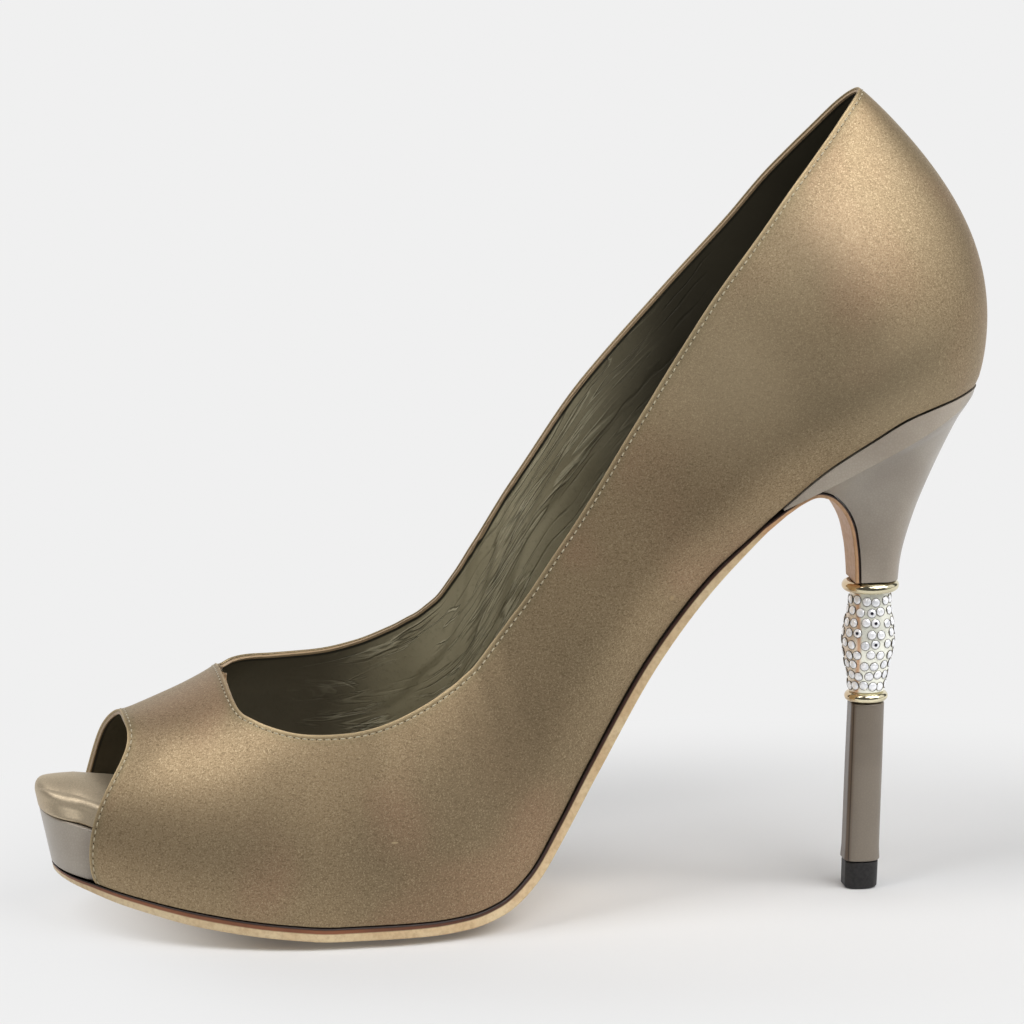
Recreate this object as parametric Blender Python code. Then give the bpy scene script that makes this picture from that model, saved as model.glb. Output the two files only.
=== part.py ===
"""Peep toe platform pump, left shoe, at its real size.

Metres, +Z up.  The toe points to -X, the heel to +X, the outer side of the foot to -Y.
The origin is on the floor, under the middle of the forefoot tread.
"""

import math

import bmesh
import bpy
import numpy as np

# Overall sizes.  LENGTH is the unit of every "along" column below.
LENGTH = 0.2220
BALL_WIDTH = 0.0760
WAIST_WIDTH = 0.0390
SEAT_WIDTH = 0.0450
TOE_SPRING = 0.0100
HEEL_HEIGHT = 0.1196
UPPER_HEIGHT = 0.0747

# Thicknesses of the layers.
UPPER_WALL = 0.0018
OUTSOLE = 0.0032
FLAP = 0.0011
PLATFORM = 0.0130
INSOLE = 0.0030
FIT = 0.0003

# Edges: how far the sole stands out past the satin, and how its side edges lift off the floor.
WELT = 0.0003
EDGE_LIFT = 0.0018
INSOLE_EASE = 0.0011

# Outline of the sole at the toe and round the seat.
TOE_TIP = -0.315
TOE_START = -0.045
TOE_ROUND = 1.8
TOE_BLUNT = 2.06
TOE_SWING = 0.0010
INSET_WIDTH = 0.0190
SLANT_LIMIT = 1.6
SEAT_START = 0.531
SEAT_END = 0.6545
SEAT_ROUND = 2.3

# Bulges of the peep edge and of the counter, measured in the side view.
PEEP_BULGE_OUTER = 0.0038
PEEP_BULGE_INNER = 0.0026
PEEP_SPREAD_OUTER = 0.0023
PEEP_SPREAD_INNER = 0.0013
COUNTER_BULGE = 0.0126
VAMP_START = -0.277

# The heel, from the floor up.
TIP_X = 0.1193
HEEL_LEAN = math.tan(math.radians(1.6))
TIP_HEIGHT = 0.0064
TIP_WIDTH = 0.0084
STEM_LENGTH = 0.0376
STEM_WIDTH = 0.0088
RING_BOTTOM_WIDTH = 0.0102
RING_BOTTOM_HEIGHT = 0.0022
SLEEVE_LENGTH = 0.0234
SLEEVE_WIDTH = 0.0092
RING_TOP_WIDTH = 0.0134
RING_TOP_HEIGHT = 0.0025
NECK_WIDTH = 0.0114
NECK_DEPTH = 0.0110
NECK_SHIFT = 0.0008

# Side view of the feather line, where the upper meets the sole, in front of the tread.
# along is a share of LENGTH, spring a share of TOE_SPRING, lean the tilt of the section in degrees.
FORE_LINE = (
    # along, spring, lean
    (-0.350, 1.220, 12.0),
    (-0.315, 1.000, 12.0),
    (-0.285, 0.815, 7.0),
    (-0.250, 0.615, 2.0),
    (-0.171, 0.300, 0.0),
    (-0.090, 0.080, 0.0),
    (-0.040, 0.000, 0.0),
)
# The same line behind the tread.  rise is a share of the height from tread to seat.
ARCH_LINE = (
    # along, rise, lean
    (0.054, 0.000, 0.0),
    (0.099, 0.006, 8.0),
    (0.135, 0.026, 22.0),
    (0.169, 0.077, 38.0),
    (0.198, 0.160, 50.0),
    (0.234, 0.282, 57.0),
    (0.297, 0.490, 56.0),
    (0.360, 0.648, 51.0),
    (0.405, 0.732, 46.0),
    (0.437, 0.788, 43.0),
    (0.482, 0.861, 36.0),
    (0.523, 0.913, 32.0),
    (0.567, 0.961, 26.0),
    (0.613, 0.986, 20.0),
    (0.655, 1.000, 14.0),
    (0.680, 1.000, 12.0),
)
# Half widths of the sole before the toe and the seat are rounded, as shares of a named width.
OUTLINE = (
    # along, width, outer side, inner side
    (-0.350, BALL_WIDTH, 0.513, 0.480),
    (-0.126, BALL_WIDTH, 0.513, 0.480),
    (-0.036, BALL_WIDTH, 0.505, 0.480),
    (0.023, BALL_WIDTH, 0.497, 0.462),
    (0.068, BALL_WIDTH, 0.474, 0.421),
    (0.112, BALL_WIDTH, 0.436, 0.375),
    (0.149, BALL_WIDTH, 0.390, 0.324),
    (0.181, WAIST_WIDTH, 0.669, 0.567),
    (0.211, WAIST_WIDTH, 0.590, 0.515),
    (0.253, WAIST_WIDTH, 0.530, 0.490),
    (0.316, WAIST_WIDTH, 0.500, 0.480),
    (0.415, WAIST_WIDTH, 0.500, 0.495),
    (0.468, SEAT_WIDTH, 0.458, 0.458),
    (0.518, SEAT_WIDTH, 0.490, 0.490),
    (0.567, SEAT_WIDTH, 0.500, 0.500),
    (0.681, SEAT_WIDTH, 0.500, 0.500),
)
# Thickness of each layer, as shares of OUTSOLE, PLATFORM and INSOLE, and of the lift of the sole's edge.
LAYERS = (
    # along, outsole, platform, insole, lift
    (-0.350, 1.00, 0.92, 1.95, 1.00),
    (-0.315, 1.00, 0.92, 1.95, 1.00),
    (-0.275, 1.00, 1.02, 1.75, 1.00),
    (-0.225, 1.00, 1.06, 1.35, 1.00),
    (-0.171, 1.00, 1.06, 1.05, 1.00),
    (0.000, 1.00, 1.00, 1.00, 1.00),
    (0.090, 1.00, 0.97, 0.95, 0.95),
    (0.144, 0.95, 0.83, 0.90, 0.75),
    (0.181, 0.90, 0.60, 0.88, 0.60),
    (0.211, 0.90, 0.32, 0.86, 0.50),
    (0.248, 0.95, 0.07, 0.85, 0.45),
    (0.360, 0.85, 0.05, 0.85, 0.30),
    (0.415, 0.50, 0.05, 0.85, 0.00),
    (0.681, 0.40, 0.05, 0.85, 0.00),
)
PLATFORM_END = 0.248
OUTSOLE_BEND = 0.415
INSOLE_TIP = 0.002
INSOLE_BACK = 0.020
PLATFORM_TIP = 0.003

# Sections of the last above the feather line.  tilt leans a section back towards the toe, reach is
# its height as a share of UPPER_HEIGHT, cut is the share of it where the topline crosses, swell is how
# far it bulges past the sole as a share of BALL_WIDTH, bend is its squareness, ridge its top's offset
# to the inner side as a share of BALL_WIDTH.
SECTIONS = (
    # along, tilt, reach, cut outer, cut inner, swell outer, swell inner, bend outer, bend inner, ridge
    (-0.277, -12.6, 0.497, 1.800, 1.800, 0.007, 0.007, 2.50, 2.50, 0.013),
    (-0.225, -7.2, 0.562, 1.500, 1.500, 0.008, 0.008, 2.35, 2.50, 0.026),
    (-0.171, -1.8, 0.628, 1.300, 1.200, 0.010, 0.010, 2.15, 2.50, 0.040),
    (-0.132, 1.2, 0.687, 1.010, 1.000, 0.012, 0.012, 2.10, 2.50, 0.050),
    (-0.118, 2.7, 0.712, 0.882, 0.952, 0.012, 0.012, 2.10, 2.50, 0.053),
    (-0.095, 4.9, 0.748, 0.800, 0.930, 0.013, 0.013, 2.10, 2.50, 0.057),
    (-0.072, 6.1, 0.791, 0.758, 0.875, 0.013, 0.013, 2.10, 2.50, 0.060),
    (-0.050, 6.5, 0.826, 0.717, 0.837, 0.014, 0.013, 2.12, 2.50, 0.062),
    (-0.023, 6.2, 0.873, 0.671, 0.780, 0.015, 0.013, 2.15, 2.50, 0.063),
    (0.023, 6.9, 0.941, 0.642, 0.730, 0.018, 0.013, 2.20, 2.50, 0.062),
    (0.076, 8.9, 1.036, 0.636, 0.717, 0.024, 0.014, 2.25, 2.50, 0.058),
    (0.149, 13.9, 1.114, 0.635, 0.712, 0.042, 0.022, 2.35, 2.50, 0.048),
    (0.198, 18.5, 1.024, 0.622, 0.715, 0.066, 0.042, 2.45, 2.50, 0.040),
    (0.253, 29.4, 0.863, 0.585, 0.720, 0.086, 0.060, 2.50, 2.50, 0.030),
    (0.316, 38.6, 0.787, 0.580, 0.725, 0.090, 0.066, 2.55, 2.55, 0.022),
    (0.379, 37.6, 0.810, 0.633, 0.753, 0.085, 0.070, 2.60, 2.60, 0.015),
    (0.437, 34.9, 0.832, 0.700, 0.761, 0.075, 0.070, 2.60, 2.60, 0.010),
    (0.495, 30.6, 0.842, 0.800, 0.800, 0.064, 0.062, 2.60, 2.60, 0.005),
    (0.550, 27.2, 0.867, 0.875, 0.875, 0.055, 0.055, 2.60, 2.60, 0.000),
    (0.603, 24.5, 0.929, 0.940, 0.940, 0.048, 0.048, 2.60, 2.60, 0.000),
    (0.655, 22.0, 1.047, 0.955, 0.955, 0.046, 0.046, 2.60, 2.60, 0.000),
    (0.680, 20.8, 1.104, 0.955, 0.955, 0.046, 0.046, 2.60, 2.60, 0.000),
)
CURVE_EASE = 0.009
EASE_WEIGHTS = ((-2, 0.06), (-1, 0.24), (0, 0.40), (1, 0.24), (2, 0.06))
SWELL_SHARE = 0.30
THROAT = -0.132
THROAT_END = -0.023
PEEP_REACH = 0.134
PEEP_HIGH = 0.75
PEEP_CROWN = 4.0
COUNTER_START = 0.27
COUNTER_ROUND = 0.85

# Front face of the flap down the front of the heel, and the heel block's back, row by row.
# along runs from the bend to the neck, rise from the neck up to the bend; width runs from neck to seat.
BREAST = (
    # along, rise, width of the flap, heel back along, heel back rise, widest width
    (0.224, 1.145, 0.813, 0.985, 0.992, 0.985),
    (0.386, 1.283, 0.760, 0.906, 0.945, 0.920),
    (0.549, 1.331, 0.596, 0.780, 0.868, 0.780),
    (0.703, 1.247, 0.409, 0.604, 0.730, 0.590),
    (0.837, 1.054, 0.234, 0.407, 0.562, 0.400),
    (0.931, 0.795, 0.111, 0.220, 0.382, 0.235),
    (0.976, 0.476, 0.047, 0.077, 0.203, 0.110),
    (0.992, 0.235, 0.018, 0.022, 0.093, 0.040),
    (1.000, 0.000, 0.000, 0.000, 0.000, 0.000),
)
HEEL_WIDEST = 0.52

# Widths of the crystal sleeve and of the stem from bottom to top, as shares of their named widths.
SLEEVE_FORM = ((0.00, 0.90), (0.14, 0.98), (0.32, 1.17), (0.52, 1.31), (0.68, 1.24), (0.84, 1.09), (1.00, 1.02))
STEM_FORM = ((0.00, 1.03), (0.03, 1.02), (0.09, 0.99), (0.55, 0.985), (1.00, 0.960))
TIP_FORM = ((0.00, 0.93), (0.06, 0.98), (1.00, 1.00))
STEM_SQUARE = 2.5
STEM_FLAT = 0.92

# Numbers of faces, and the places where the spacing of the sole's stations changes.
FORE_START = -0.124
ARCH_START = 0.072
TOE_COLUMNS = 9
FORE_COLUMNS = 6
ARCH_COLUMNS = 17
PLATFORM_COLUMNS = 15
INSOLE_COLUMNS = 24
SEAT_COLUMNS = 7
TIP_SHARE = 0.9985
SEAT_SHARE = 0.9995
SLOPE_STEP = 0.0005
UPPER_ROWS = 11
VAMP_COLUMNS = 9
THROAT_COLUMNS = 11
SIDE_COLUMNS = 13
COUNTER_COLUMNS = 9
SOLE_ACROSS = 12
HEEL_COLUMNS = 9
ROUND_SIDES = 28
RING_ROWS = 6
SLEEVE_ROWS = 9

# Colours and finishes, as (red, green, blue), roughness, metallic.
SATIN = ((0.250, 0.195, 0.125), 0.50, 0.0)
SOCK = ((0.180, 0.165, 0.110), 0.60, 0.0)
HEEL_LEATHER = ((0.215, 0.180, 0.150), 0.35, 0.0)
SOLE_LEATHER = ((0.620, 0.400, 0.240), 0.50, 0.0)
GOLD = ((0.830, 0.620, 0.300), 0.18, 1.0)
CRYSTAL_METAL = ((0.780, 0.740, 0.620), 0.20, 1.0)
BLACK_RUBBER = ((0.012, 0.012, 0.013), 0.55, 0.0)


def smooth_curve(stations, values):
    """Return a monotone cubic curve through the values, one for each station."""
    xs = np.asarray(stations, float)
    ys = np.asarray(values, float)
    step = np.diff(xs)
    grade = np.diff(ys) / step
    slope = np.zeros(len(xs))
    slope[0] = grade[0]
    slope[-1] = grade[-1]
    for i in range(1, len(xs) - 1):
        before = grade[i - 1]
        after = grade[i]
        if before * after > 0.0:
            heavy = 2.0 * step[i] + step[i - 1]
            light = step[i] + 2.0 * step[i - 1]
            slope[i] = (heavy + light) / (heavy / before + light / after)

    def at(x):
        i = int(np.clip(np.searchsorted(xs, x) - 1, 0, len(step) - 1))
        u = (min(max(x, xs[0]), xs[-1]) - xs[i]) / step[i]
        rest = 1.0 - u
        near = ys[i] * (1.0 + 2.0 * u) * rest * rest + slope[i] * step[i] * u * rest * rest
        far = ys[i + 1] * (3.0 - 2.0 * u) * u * u - slope[i + 1] * step[i] * u * u * rest
        return near + far

    return at


def eased(curve):
    """The same curve with its small kinks averaged out."""
    return lambda along: sum(curve(along + CURVE_EASE * step) * weight for step, weight in EASE_WEIGHTS)


def columns(table):
    return list(zip(*table))


def feather_curves():
    """Height and lean of the feather line against its share along the shoe."""
    along = [row[0] for row in FORE_LINE + ARCH_LINE]
    height = [OUTSOLE + TOE_SPRING * row[1] for row in FORE_LINE]
    height += [OUTSOLE + (HEEL_HEIGHT - OUTSOLE) * row[1] for row in ARCH_LINE]
    lean = [math.radians(row[2]) for row in FORE_LINE + ARCH_LINE]
    return smooth_curve(along, height), smooth_curve(along, lean)


FEATHER_HEIGHT, FEATHER_LEAN = feather_curves()
OUTLINE_ALONG, OUTLINE_WIDTH, OUTLINE_OUTER, OUTLINE_INNER = columns(OUTLINE)
WIDE = {
    -1: smooth_curve(OUTLINE_ALONG, np.multiply(OUTLINE_WIDTH, OUTLINE_OUTER)),
    1: smooth_curve(OUTLINE_ALONG, np.multiply(OUTLINE_WIDTH, OUTLINE_INNER)),
}
LAYER = [smooth_curve(columns(LAYERS)[0], column) for column in columns(LAYERS)[1:]]
SECTION = [eased(smooth_curve(columns(SECTIONS)[0], column)) for column in columns(SECTIONS)[1:]]
TILT, REACH, CUT_OUTER, CUT_INNER, SWELL_OUTER, SWELL_INNER, BEND_OUTER, BEND_INNER, RIDGE = SECTION
CUT = {-1: CUT_OUTER, 1: CUT_INNER}
SWELL = {-1: SWELL_OUTER, 1: SWELL_INNER}
BEND = {-1: BEND_OUTER, 1: BEND_INNER}


def toe_closing(along, tip):
    """Share of the full width that is left where the toe is rounded."""
    if along >= TOE_START:
        return 1.0
    share = min((TOE_START - along) / (TOE_START - tip), 1.0)
    return max(1.0 - share ** TOE_ROUND, 0.0) ** (1.0 / TOE_BLUNT)


def seat_closing(along):
    """Share of the full width that is left where the seat is rounded."""
    if along <= SEAT_START:
        return 1.0
    share = min((along - SEAT_START) / (SEAT_END - SEAT_START), 1.0)
    return math.sqrt(max(1.0 - share ** SEAT_ROUND, 0.0))


def swing(along):
    """Sideways offset of the toe towards the inner side."""
    return TOE_SWING * min(max((TOE_START - along) / (TOE_START - TOE_TIP), 0.0), 1.0)


def feather_point(along):
    return np.array([LENGTH * along, 0.0, FEATHER_HEIGHT(along)])


def up_vector(along):
    lean = FEATHER_LEAN(along)
    return np.array([-math.sin(lean), 0.0, math.cos(lean)])


def edge_lift(across):
    """Share of the lift at a place across the sole, from -1 to 1: the middle half stays flat."""
    return max(2.0 * abs(across) - 1.0, 0.0) ** 2


def outline_width(along, side, tip):
    """Half width of the sole's outline, rounded off at the toe and at the seat."""
    return WIDE[side](along) * toe_closing(along, tip) * seat_closing(along)


def half_width(along, side, inset, tip=TOE_TIP):
    """Half width of a layer set in square to the sole's outline, less so where the sole is narrow."""
    wide = outline_width(along, side, tip)
    slope = (outline_width(along + SLOPE_STEP, side, tip) - wide) / (SLOPE_STEP * LENGTH)
    slant = min(math.hypot(1.0, slope), SLANT_LIMIT)
    return max(wide - inset * slant * min(wide / INSET_WIDTH, 1.0), 0.0)


def sole_point(along, across, inset, tip, height, lift):
    """A point of a sole layer: across runs from -1, the outer edge, to 1, the inner edge."""
    side = -1 if across < 0.0 else 1
    point = feather_point(along) + up_vector(along) * (height + lift * edge_lift(across))
    point[1] = swing(along) + across * half_width(along, side, inset, tip)
    return point


def new_material(name, finish):
    colour, roughness, metallic = finish
    material = bpy.data.materials.new(name)
    material.use_nodes = True
    shader = material.node_tree.nodes["Principled BSDF"]
    shader.inputs["Base Color"].default_value = (*colour, 1.0)
    shader.inputs["Roughness"].default_value = roughness
    shader.inputs["Metallic"].default_value = metallic
    return material


def finish_object(name, bm, finish):
    """Turn the mesh into a named object with its material, faces pointing out."""
    bmesh.ops.remove_doubles(bm, verts=bm.verts, dist=1e-6)
    bmesh.ops.recalc_face_normals(bm, faces=bm.faces)
    mesh = bpy.data.meshes.new(name)
    bm.to_mesh(mesh)
    bm.free()
    mesh.shade_smooth()
    mesh.set_sharp_from_angle(angle=math.radians(40.0))
    mesh.materials.append(new_material(name, finish))
    piece = bpy.data.objects.new(name, mesh)
    bpy.context.scene.collection.objects.link(piece)
    return piece


def add_points(bm, points):
    return [bm.verts.new(point) for point in points]


def add_face(bm, verts):
    """Add a face, leaving out corners that repeat."""
    kept = []
    for vert in verts:
        if all((vert.co - other.co).length > 1e-7 for other in kept):
            kept.append(vert)
    if len(kept) >= 3:
        bm.faces.new(kept)


def join_rows(bm, first, second, closed=False):
    count = len(first)
    for i in range(count if closed else count - 1):
        j = (i + 1) % count
        add_face(bm, (first[i], first[j], second[j], second[i]))


def layered_solid(name, sections, finish):
    """Close a solid from sections, each a lower and an upper row of points across the shoe."""
    bm = bmesh.new()
    rows = [(add_points(bm, lower), add_points(bm, upper)) for lower, upper in sections]
    for (low, high), (next_low, next_high) in zip(rows, rows[1:]):
        join_rows(bm, low, next_low)
        join_rows(bm, high, next_high)
        add_face(bm, (low[0], high[0], next_high[0], next_low[0]))
        add_face(bm, (low[-1], high[-1], next_high[-1], next_low[-1]))
    for low, high in (rows[0], rows[-1]):
        join_rows(bm, low, high)
    return finish_object(name, bm, finish)


def across_shares():
    """Places across the sole, closer together at the edges."""
    return [math.sin(math.pi * (i / SOLE_ACROSS - 0.5)) for i in range(SOLE_ACROSS + 1)]


def toe_stations(tip, start, count):
    """Stations from just behind the toe's tip, closest together there."""
    shares = [TIP_SHARE * math.cos(0.5 * math.pi * i / count) ** 2 for i in range(count + 1)]
    return [start + (tip - start) * share for share in shares]


def spread(start, end, count):
    return [start + (end - start) * i / count for i in range(1, count + 1)]


def seat_stations(start, end, count):
    """Stations that come closer together towards the rounded back of the seat."""
    shares = [SEAT_SHARE * math.sin(0.5 * math.pi * i / count) for i in range(1, count + 1)]
    return [start + (end - start) * share for share in shares]


def neck_height():
    """Height of the heel block's lower end: the pieces under it and the gaps between them."""
    pieces = TIP_HEIGHT + STEM_LENGTH + RING_BOTTOM_HEIGHT + SLEEVE_LENGTH + RING_TOP_HEIGHT
    return pieces + 5.0 * FIT


def column_x(height):
    """Middle of the heel at a height: it leans back a little."""
    return TIP_X + HEEL_LEAN * height


def neck_front():
    """Front face of the flap at the neck."""
    return column_x(neck_height()) + NECK_SHIFT - 0.5 * NECK_DEPTH


def breast_points():
    """Front face of the flap, row by row, as points in the side view."""
    bend = feather_point(OUTSOLE_BEND)
    low = neck_height()
    run = neck_front() - bend[0]
    return [np.array([bend[0] + run * row[0], 0.0, low + (bend[2] - low) * row[1]]) for row in BREAST]


def breast_normals(points):
    """Unit vectors from the flap's front face into the heel."""
    normals = []
    for i in range(len(points)):
        ahead = points[min(i + 1, len(points) - 1)] - points[max(i - 1, 0)]
        ahead /= np.linalg.norm(ahead)
        normals.append(np.array([-ahead[2], 0.0, ahead[0]]))
    return normals


def blend_width(share):
    """Half width between the neck and the seat."""
    return 0.5 * (NECK_WIDTH + share * (SEAT_WIDTH - NECK_WIDTH))


def make_outsole():
    shares = across_shares()
    stations = toe_stations(TOE_TIP, FORE_START, TOE_COLUMNS)
    stations += spread(FORE_START, ARCH_START, FORE_COLUMNS)
    stations += spread(ARCH_START, OUTSOLE_BEND, ARCH_COLUMNS)
    sections = []
    for along in stations:
        lift = sole_lift(along)
        thick = OUTSOLE * LAYER[0](along)
        lower = [sole_point(along, v, 0.0, TOE_TIP, -thick, lift) for v in shares]
        upper = [sole_point(along, v, 0.0, TOE_TIP, 0.0, lift) for v in shares]
        sections.append((lower, upper))
    points = breast_points()
    for row, point, normal in zip(BREAST, points, breast_normals(points)):
        half = blend_width(row[2])
        lower = [point + np.array([0.0, v * half, 0.0]) for v in shares]
        upper = [place + normal * FLAP for place in lower]
        sections.append((lower, upper))
    return layered_solid("outsole", sections, SOLE_LEATHER)


def sole_lift(along):
    """How far the sole's edges lift."""
    return EDGE_LIFT * LAYER[3](along)


def bed_height(along):
    return PLATFORM * LAYER[1](along)


def bed_lift(along):
    """How far the edges of the platform's top lift: it is flat where the platform is thick."""
    return sole_lift(along) * (1.0 - min(LAYER[1](along), 1.0))


def make_platform():
    shares = across_shares()
    inset = UPPER_WALL + WELT + 2.0 * FIT
    tip = TOE_TIP + PLATFORM_TIP
    sections = []
    for along in toe_stations(tip, FORE_START, TOE_COLUMNS) + spread(FORE_START, PLATFORM_END, PLATFORM_COLUMNS):
        high = bed_height(along)
        lower = [sole_point(along, v, inset, tip, FIT, sole_lift(along)) for v in shares]
        upper = [sole_point(along, v, inset, tip, high, bed_lift(along)) for v in shares]
        sections.append((lower, upper))
    return layered_solid("platform", sections, HEEL_LEATHER)


def make_insole():
    shares = across_shares()
    tip = TOE_TIP + INSOLE_TIP
    inset = UPPER_WALL + WELT + FIT + INSOLE_EASE
    sections = []
    stations = toe_stations(tip, FORE_START, TOE_COLUMNS) + spread(FORE_START, SEAT_START, INSOLE_COLUMNS)
    stations += seat_stations(SEAT_START, SEAT_END - INSOLE_BACK, SEAT_COLUMNS)
    for along in stations:
        base = bed_height(along) + FIT
        top = base + INSOLE * LAYER[2](along)
        lower = [sole_point(along, v, inset, tip, base, bed_lift(along)) for v in shares]
        upper = [sole_point(along, v, inset + INSOLE_EASE, tip, top, bed_lift(along)) for v in shares]
        sections.append((lower, upper))
    return layered_solid("insole", sections, SOCK)


def column_bulge(along, side, share):
    """Shift of a section in the side view: the peep edge bows forward, the counter backward."""
    bow = PEEP_BULGE_OUTER if side < 0 else PEEP_BULGE_INNER
    part = PEEP_SPREAD_OUTER if side < 0 else -PEEP_SPREAD_INNER
    front = max(1.0 - (along - VAMP_START) / PEEP_REACH, 0.0) ** 2
    back = max((along - COUNTER_START) / (SEAT_END - COUNTER_START), 0.0) ** 2
    peep = -bow * front * math.sin(math.pi * share ** PEEP_HIGH)
    peep += part * front * math.sin(math.pi * share ** PEEP_CROWN)
    return peep + COUNTER_BULGE * back * abs(math.sin(math.pi * share)) ** COUNTER_ROUND


def upper_point(along, side, share):
    """A point of the upper's outer face: share runs from the feather line, 0, to the topline, 1."""
    tilt = math.radians(TILT(along))
    cut = min(CUT[side](along), 1.0)
    crown = np.array([-math.sin(tilt), 0.0, math.cos(tilt)]) * REACH(along) * UPPER_HEIGHT
    height = cut * share
    lift = sole_lift(along) * (1.0 - share) ** 2
    point = feather_point(along) + up_vector(along) * (FIT + lift) + crown * height
    point[0] += column_bulge(along, side, share)
    close = seat_closing(along)
    base = half_width(along, side, WELT)
    full = base + SWELL[side](along) * BALL_WIDTH * close
    bend = BEND[side](along)
    shape = max(1.0 - height ** bend, 0.0) ** (1.0 / bend)
    flare = (full - base) * max(1.0 - height / SWELL_SHARE, 0.0) ** 2
    ridge = RIDGE(along) * BALL_WIDTH
    outward = shape * (full - side * ridge) - flare
    point[1] = swing(along) + ridge + side * outward
    return point


def side_normal(along, side, share):
    """Unit vector out of the upper's outer face, taken from one side alone."""
    along_low = min(max(along - 0.0015, VAMP_START), SEAT_END - 0.006)
    share_low = min(max(share - 0.02, 0.0), 0.955)
    run = upper_point(along_low + 0.003, side, share) - upper_point(along_low, side, share)
    climb = upper_point(along, side, share_low + 0.04) - upper_point(along, side, share_low)
    normal = np.cross(run, climb) * -side
    return normal / np.linalg.norm(normal)


def upper_normal(along, side, share):
    """Unit vector out of the upper, shared by both sides where they meet."""
    normal = side_normal(along, side, share)
    if along >= SEAT_END or (share >= 1.0 and CUT[side](along) >= 1.0):
        normal = normal + side_normal(along, -side, share)
        normal[1] = 0.0
    return normal / np.linalg.norm(normal)


def upper_stations():
    stations = [VAMP_START] + spread(VAMP_START, THROAT, VAMP_COLUMNS)
    stations += spread(THROAT, THROAT_END, THROAT_COLUMNS)
    stations += spread(THROAT_END, SEAT_START, SIDE_COLUMNS)
    for i in range(1, COUNTER_COLUMNS + 1):
        share = math.sin(0.5 * math.pi * i / COUNTER_COLUMNS) ** (2.0 / SEAT_ROUND)
        stations.append(SEAT_START + (SEAT_END - SEAT_START) * share)
    return stations


def make_upper():
    shares = [math.sin(0.5 * math.pi * i / UPPER_ROWS) for i in range(UPPER_ROWS + 1)]
    stations = upper_stations()
    bm = bmesh.new()
    for side in (-1, 1):
        outer = []
        inner = []
        for along in stations:
            outside = [upper_point(along, side, share) for share in shares]
            inside = []
            for share, point in zip(shares, outside):
                normal = upper_normal(along, side, share)
                inside.append(point - normal * UPPER_WALL)
            outer.append(add_points(bm, outside))
            inner.append(add_points(bm, inside))
        for i in range(len(stations) - 1):
            join_rows(bm, outer[i], outer[i + 1])
            join_rows(bm, inner[i], inner[i + 1])
            add_face(bm, (outer[i][0], outer[i + 1][0], inner[i + 1][0], inner[i][0]))
            if CUT[side](stations[i + 1]) < 1.0:
                add_face(bm, (outer[i][-1], outer[i + 1][-1], inner[i + 1][-1], inner[i][-1]))
        join_rows(bm, outer[0], inner[0])
    return finish_object("upper", bm, SATIN)


def heel_sections():
    """Loops of the heel block from the seat down to the neck, each from front corner round to front corner."""
    points = breast_points()
    normals = breast_normals(points)
    low = neck_height()
    neck_back = neck_front() + NECK_DEPTH
    seat_back = LENGTH * SEAT_END - WELT
    loops = []
    shares = [math.sin(0.5 * math.pi * i / HEEL_COLUMNS) for i in range(HEEL_COLUMNS + 1)]
    for row, point, normal in zip(BREAST, points, normals):
        front = point + normal * (FLAP + FIT)
        back = np.array([
            neck_back + row[3] * (seat_back - neck_back), 0.0, low + row[4] * (HEEL_HEIGHT - FIT - low)])
        edge = blend_width(row[2])
        widest = blend_width(row[5])
        loop = []
        for share in shares:
            place = front + (back - front) * share
            before = max(1.0 - share / HEEL_WIDEST, 0.0) ** 2
            beyond = max((share - HEEL_WIDEST) / (1.0 - HEEL_WIDEST), 0.0) ** SEAT_ROUND
            half = widest - (widest - edge) * before
            place[1] = -half * math.sqrt(1.0 - beyond)
            loop.append(place)
        loops.append(loop)
    loops.insert(0, seat_loop(loops[0]))
    return [loop + [place * (1.0, -1.0, 1.0) for place in reversed(loop[:-1])] for loop in loops]


def seat_loop(below):
    """Top edge of the heel block: it follows the feather line and the outline of the seat."""
    loop = []
    start = below[0][0] / LENGTH
    end = SEAT_END - WELT / LENGTH
    for i in range(HEEL_COLUMNS + 1):
        along = start + (end - start) * math.sin(0.5 * math.pi * i / HEEL_COLUMNS)
        place = feather_point(along)
        place[1] = -half_width(along, -1, WELT) if i < HEEL_COLUMNS else 0.0
        place[2] -= FIT
        loop.append(place)
    return loop


def ladder(bm, loop):
    """Close a loop that is symmetrical about its middle point with cross strips."""
    count = len(loop)
    for i in range(count // 2):
        add_face(bm, (loop[i], loop[i + 1], loop[count - 2 - i], loop[count - 1 - i]))


def make_heel_block():
    bm = bmesh.new()
    loops = [add_points(bm, loop) for loop in heel_sections()]
    for loop, following in zip(loops, loops[1:]):
        join_rows(bm, loop, following, closed=True)
    ladder(bm, loops[0])
    ladder(bm, loops[-1])
    return finish_object("heel_block", bm, HEEL_LEATHER)


def turned_solid(name, loops, finish):
    """Close a solid from level loops, bottom to top."""
    bm = bmesh.new()
    rings = [add_points(bm, loop) for loop in loops]
    for ring, following in zip(rings, rings[1:]):
        join_rows(bm, ring, following, closed=True)
    bm.faces.new(list(reversed(rings[0])))
    bm.faces.new(rings[-1])
    return finish_object(name, bm, finish)


def round_loop(height, radius):
    angles = [2.0 * math.pi * i / ROUND_SIDES for i in range(ROUND_SIDES)]
    return [(column_x(height) + radius * math.cos(a), radius * math.sin(a), height) for a in angles]


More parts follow.
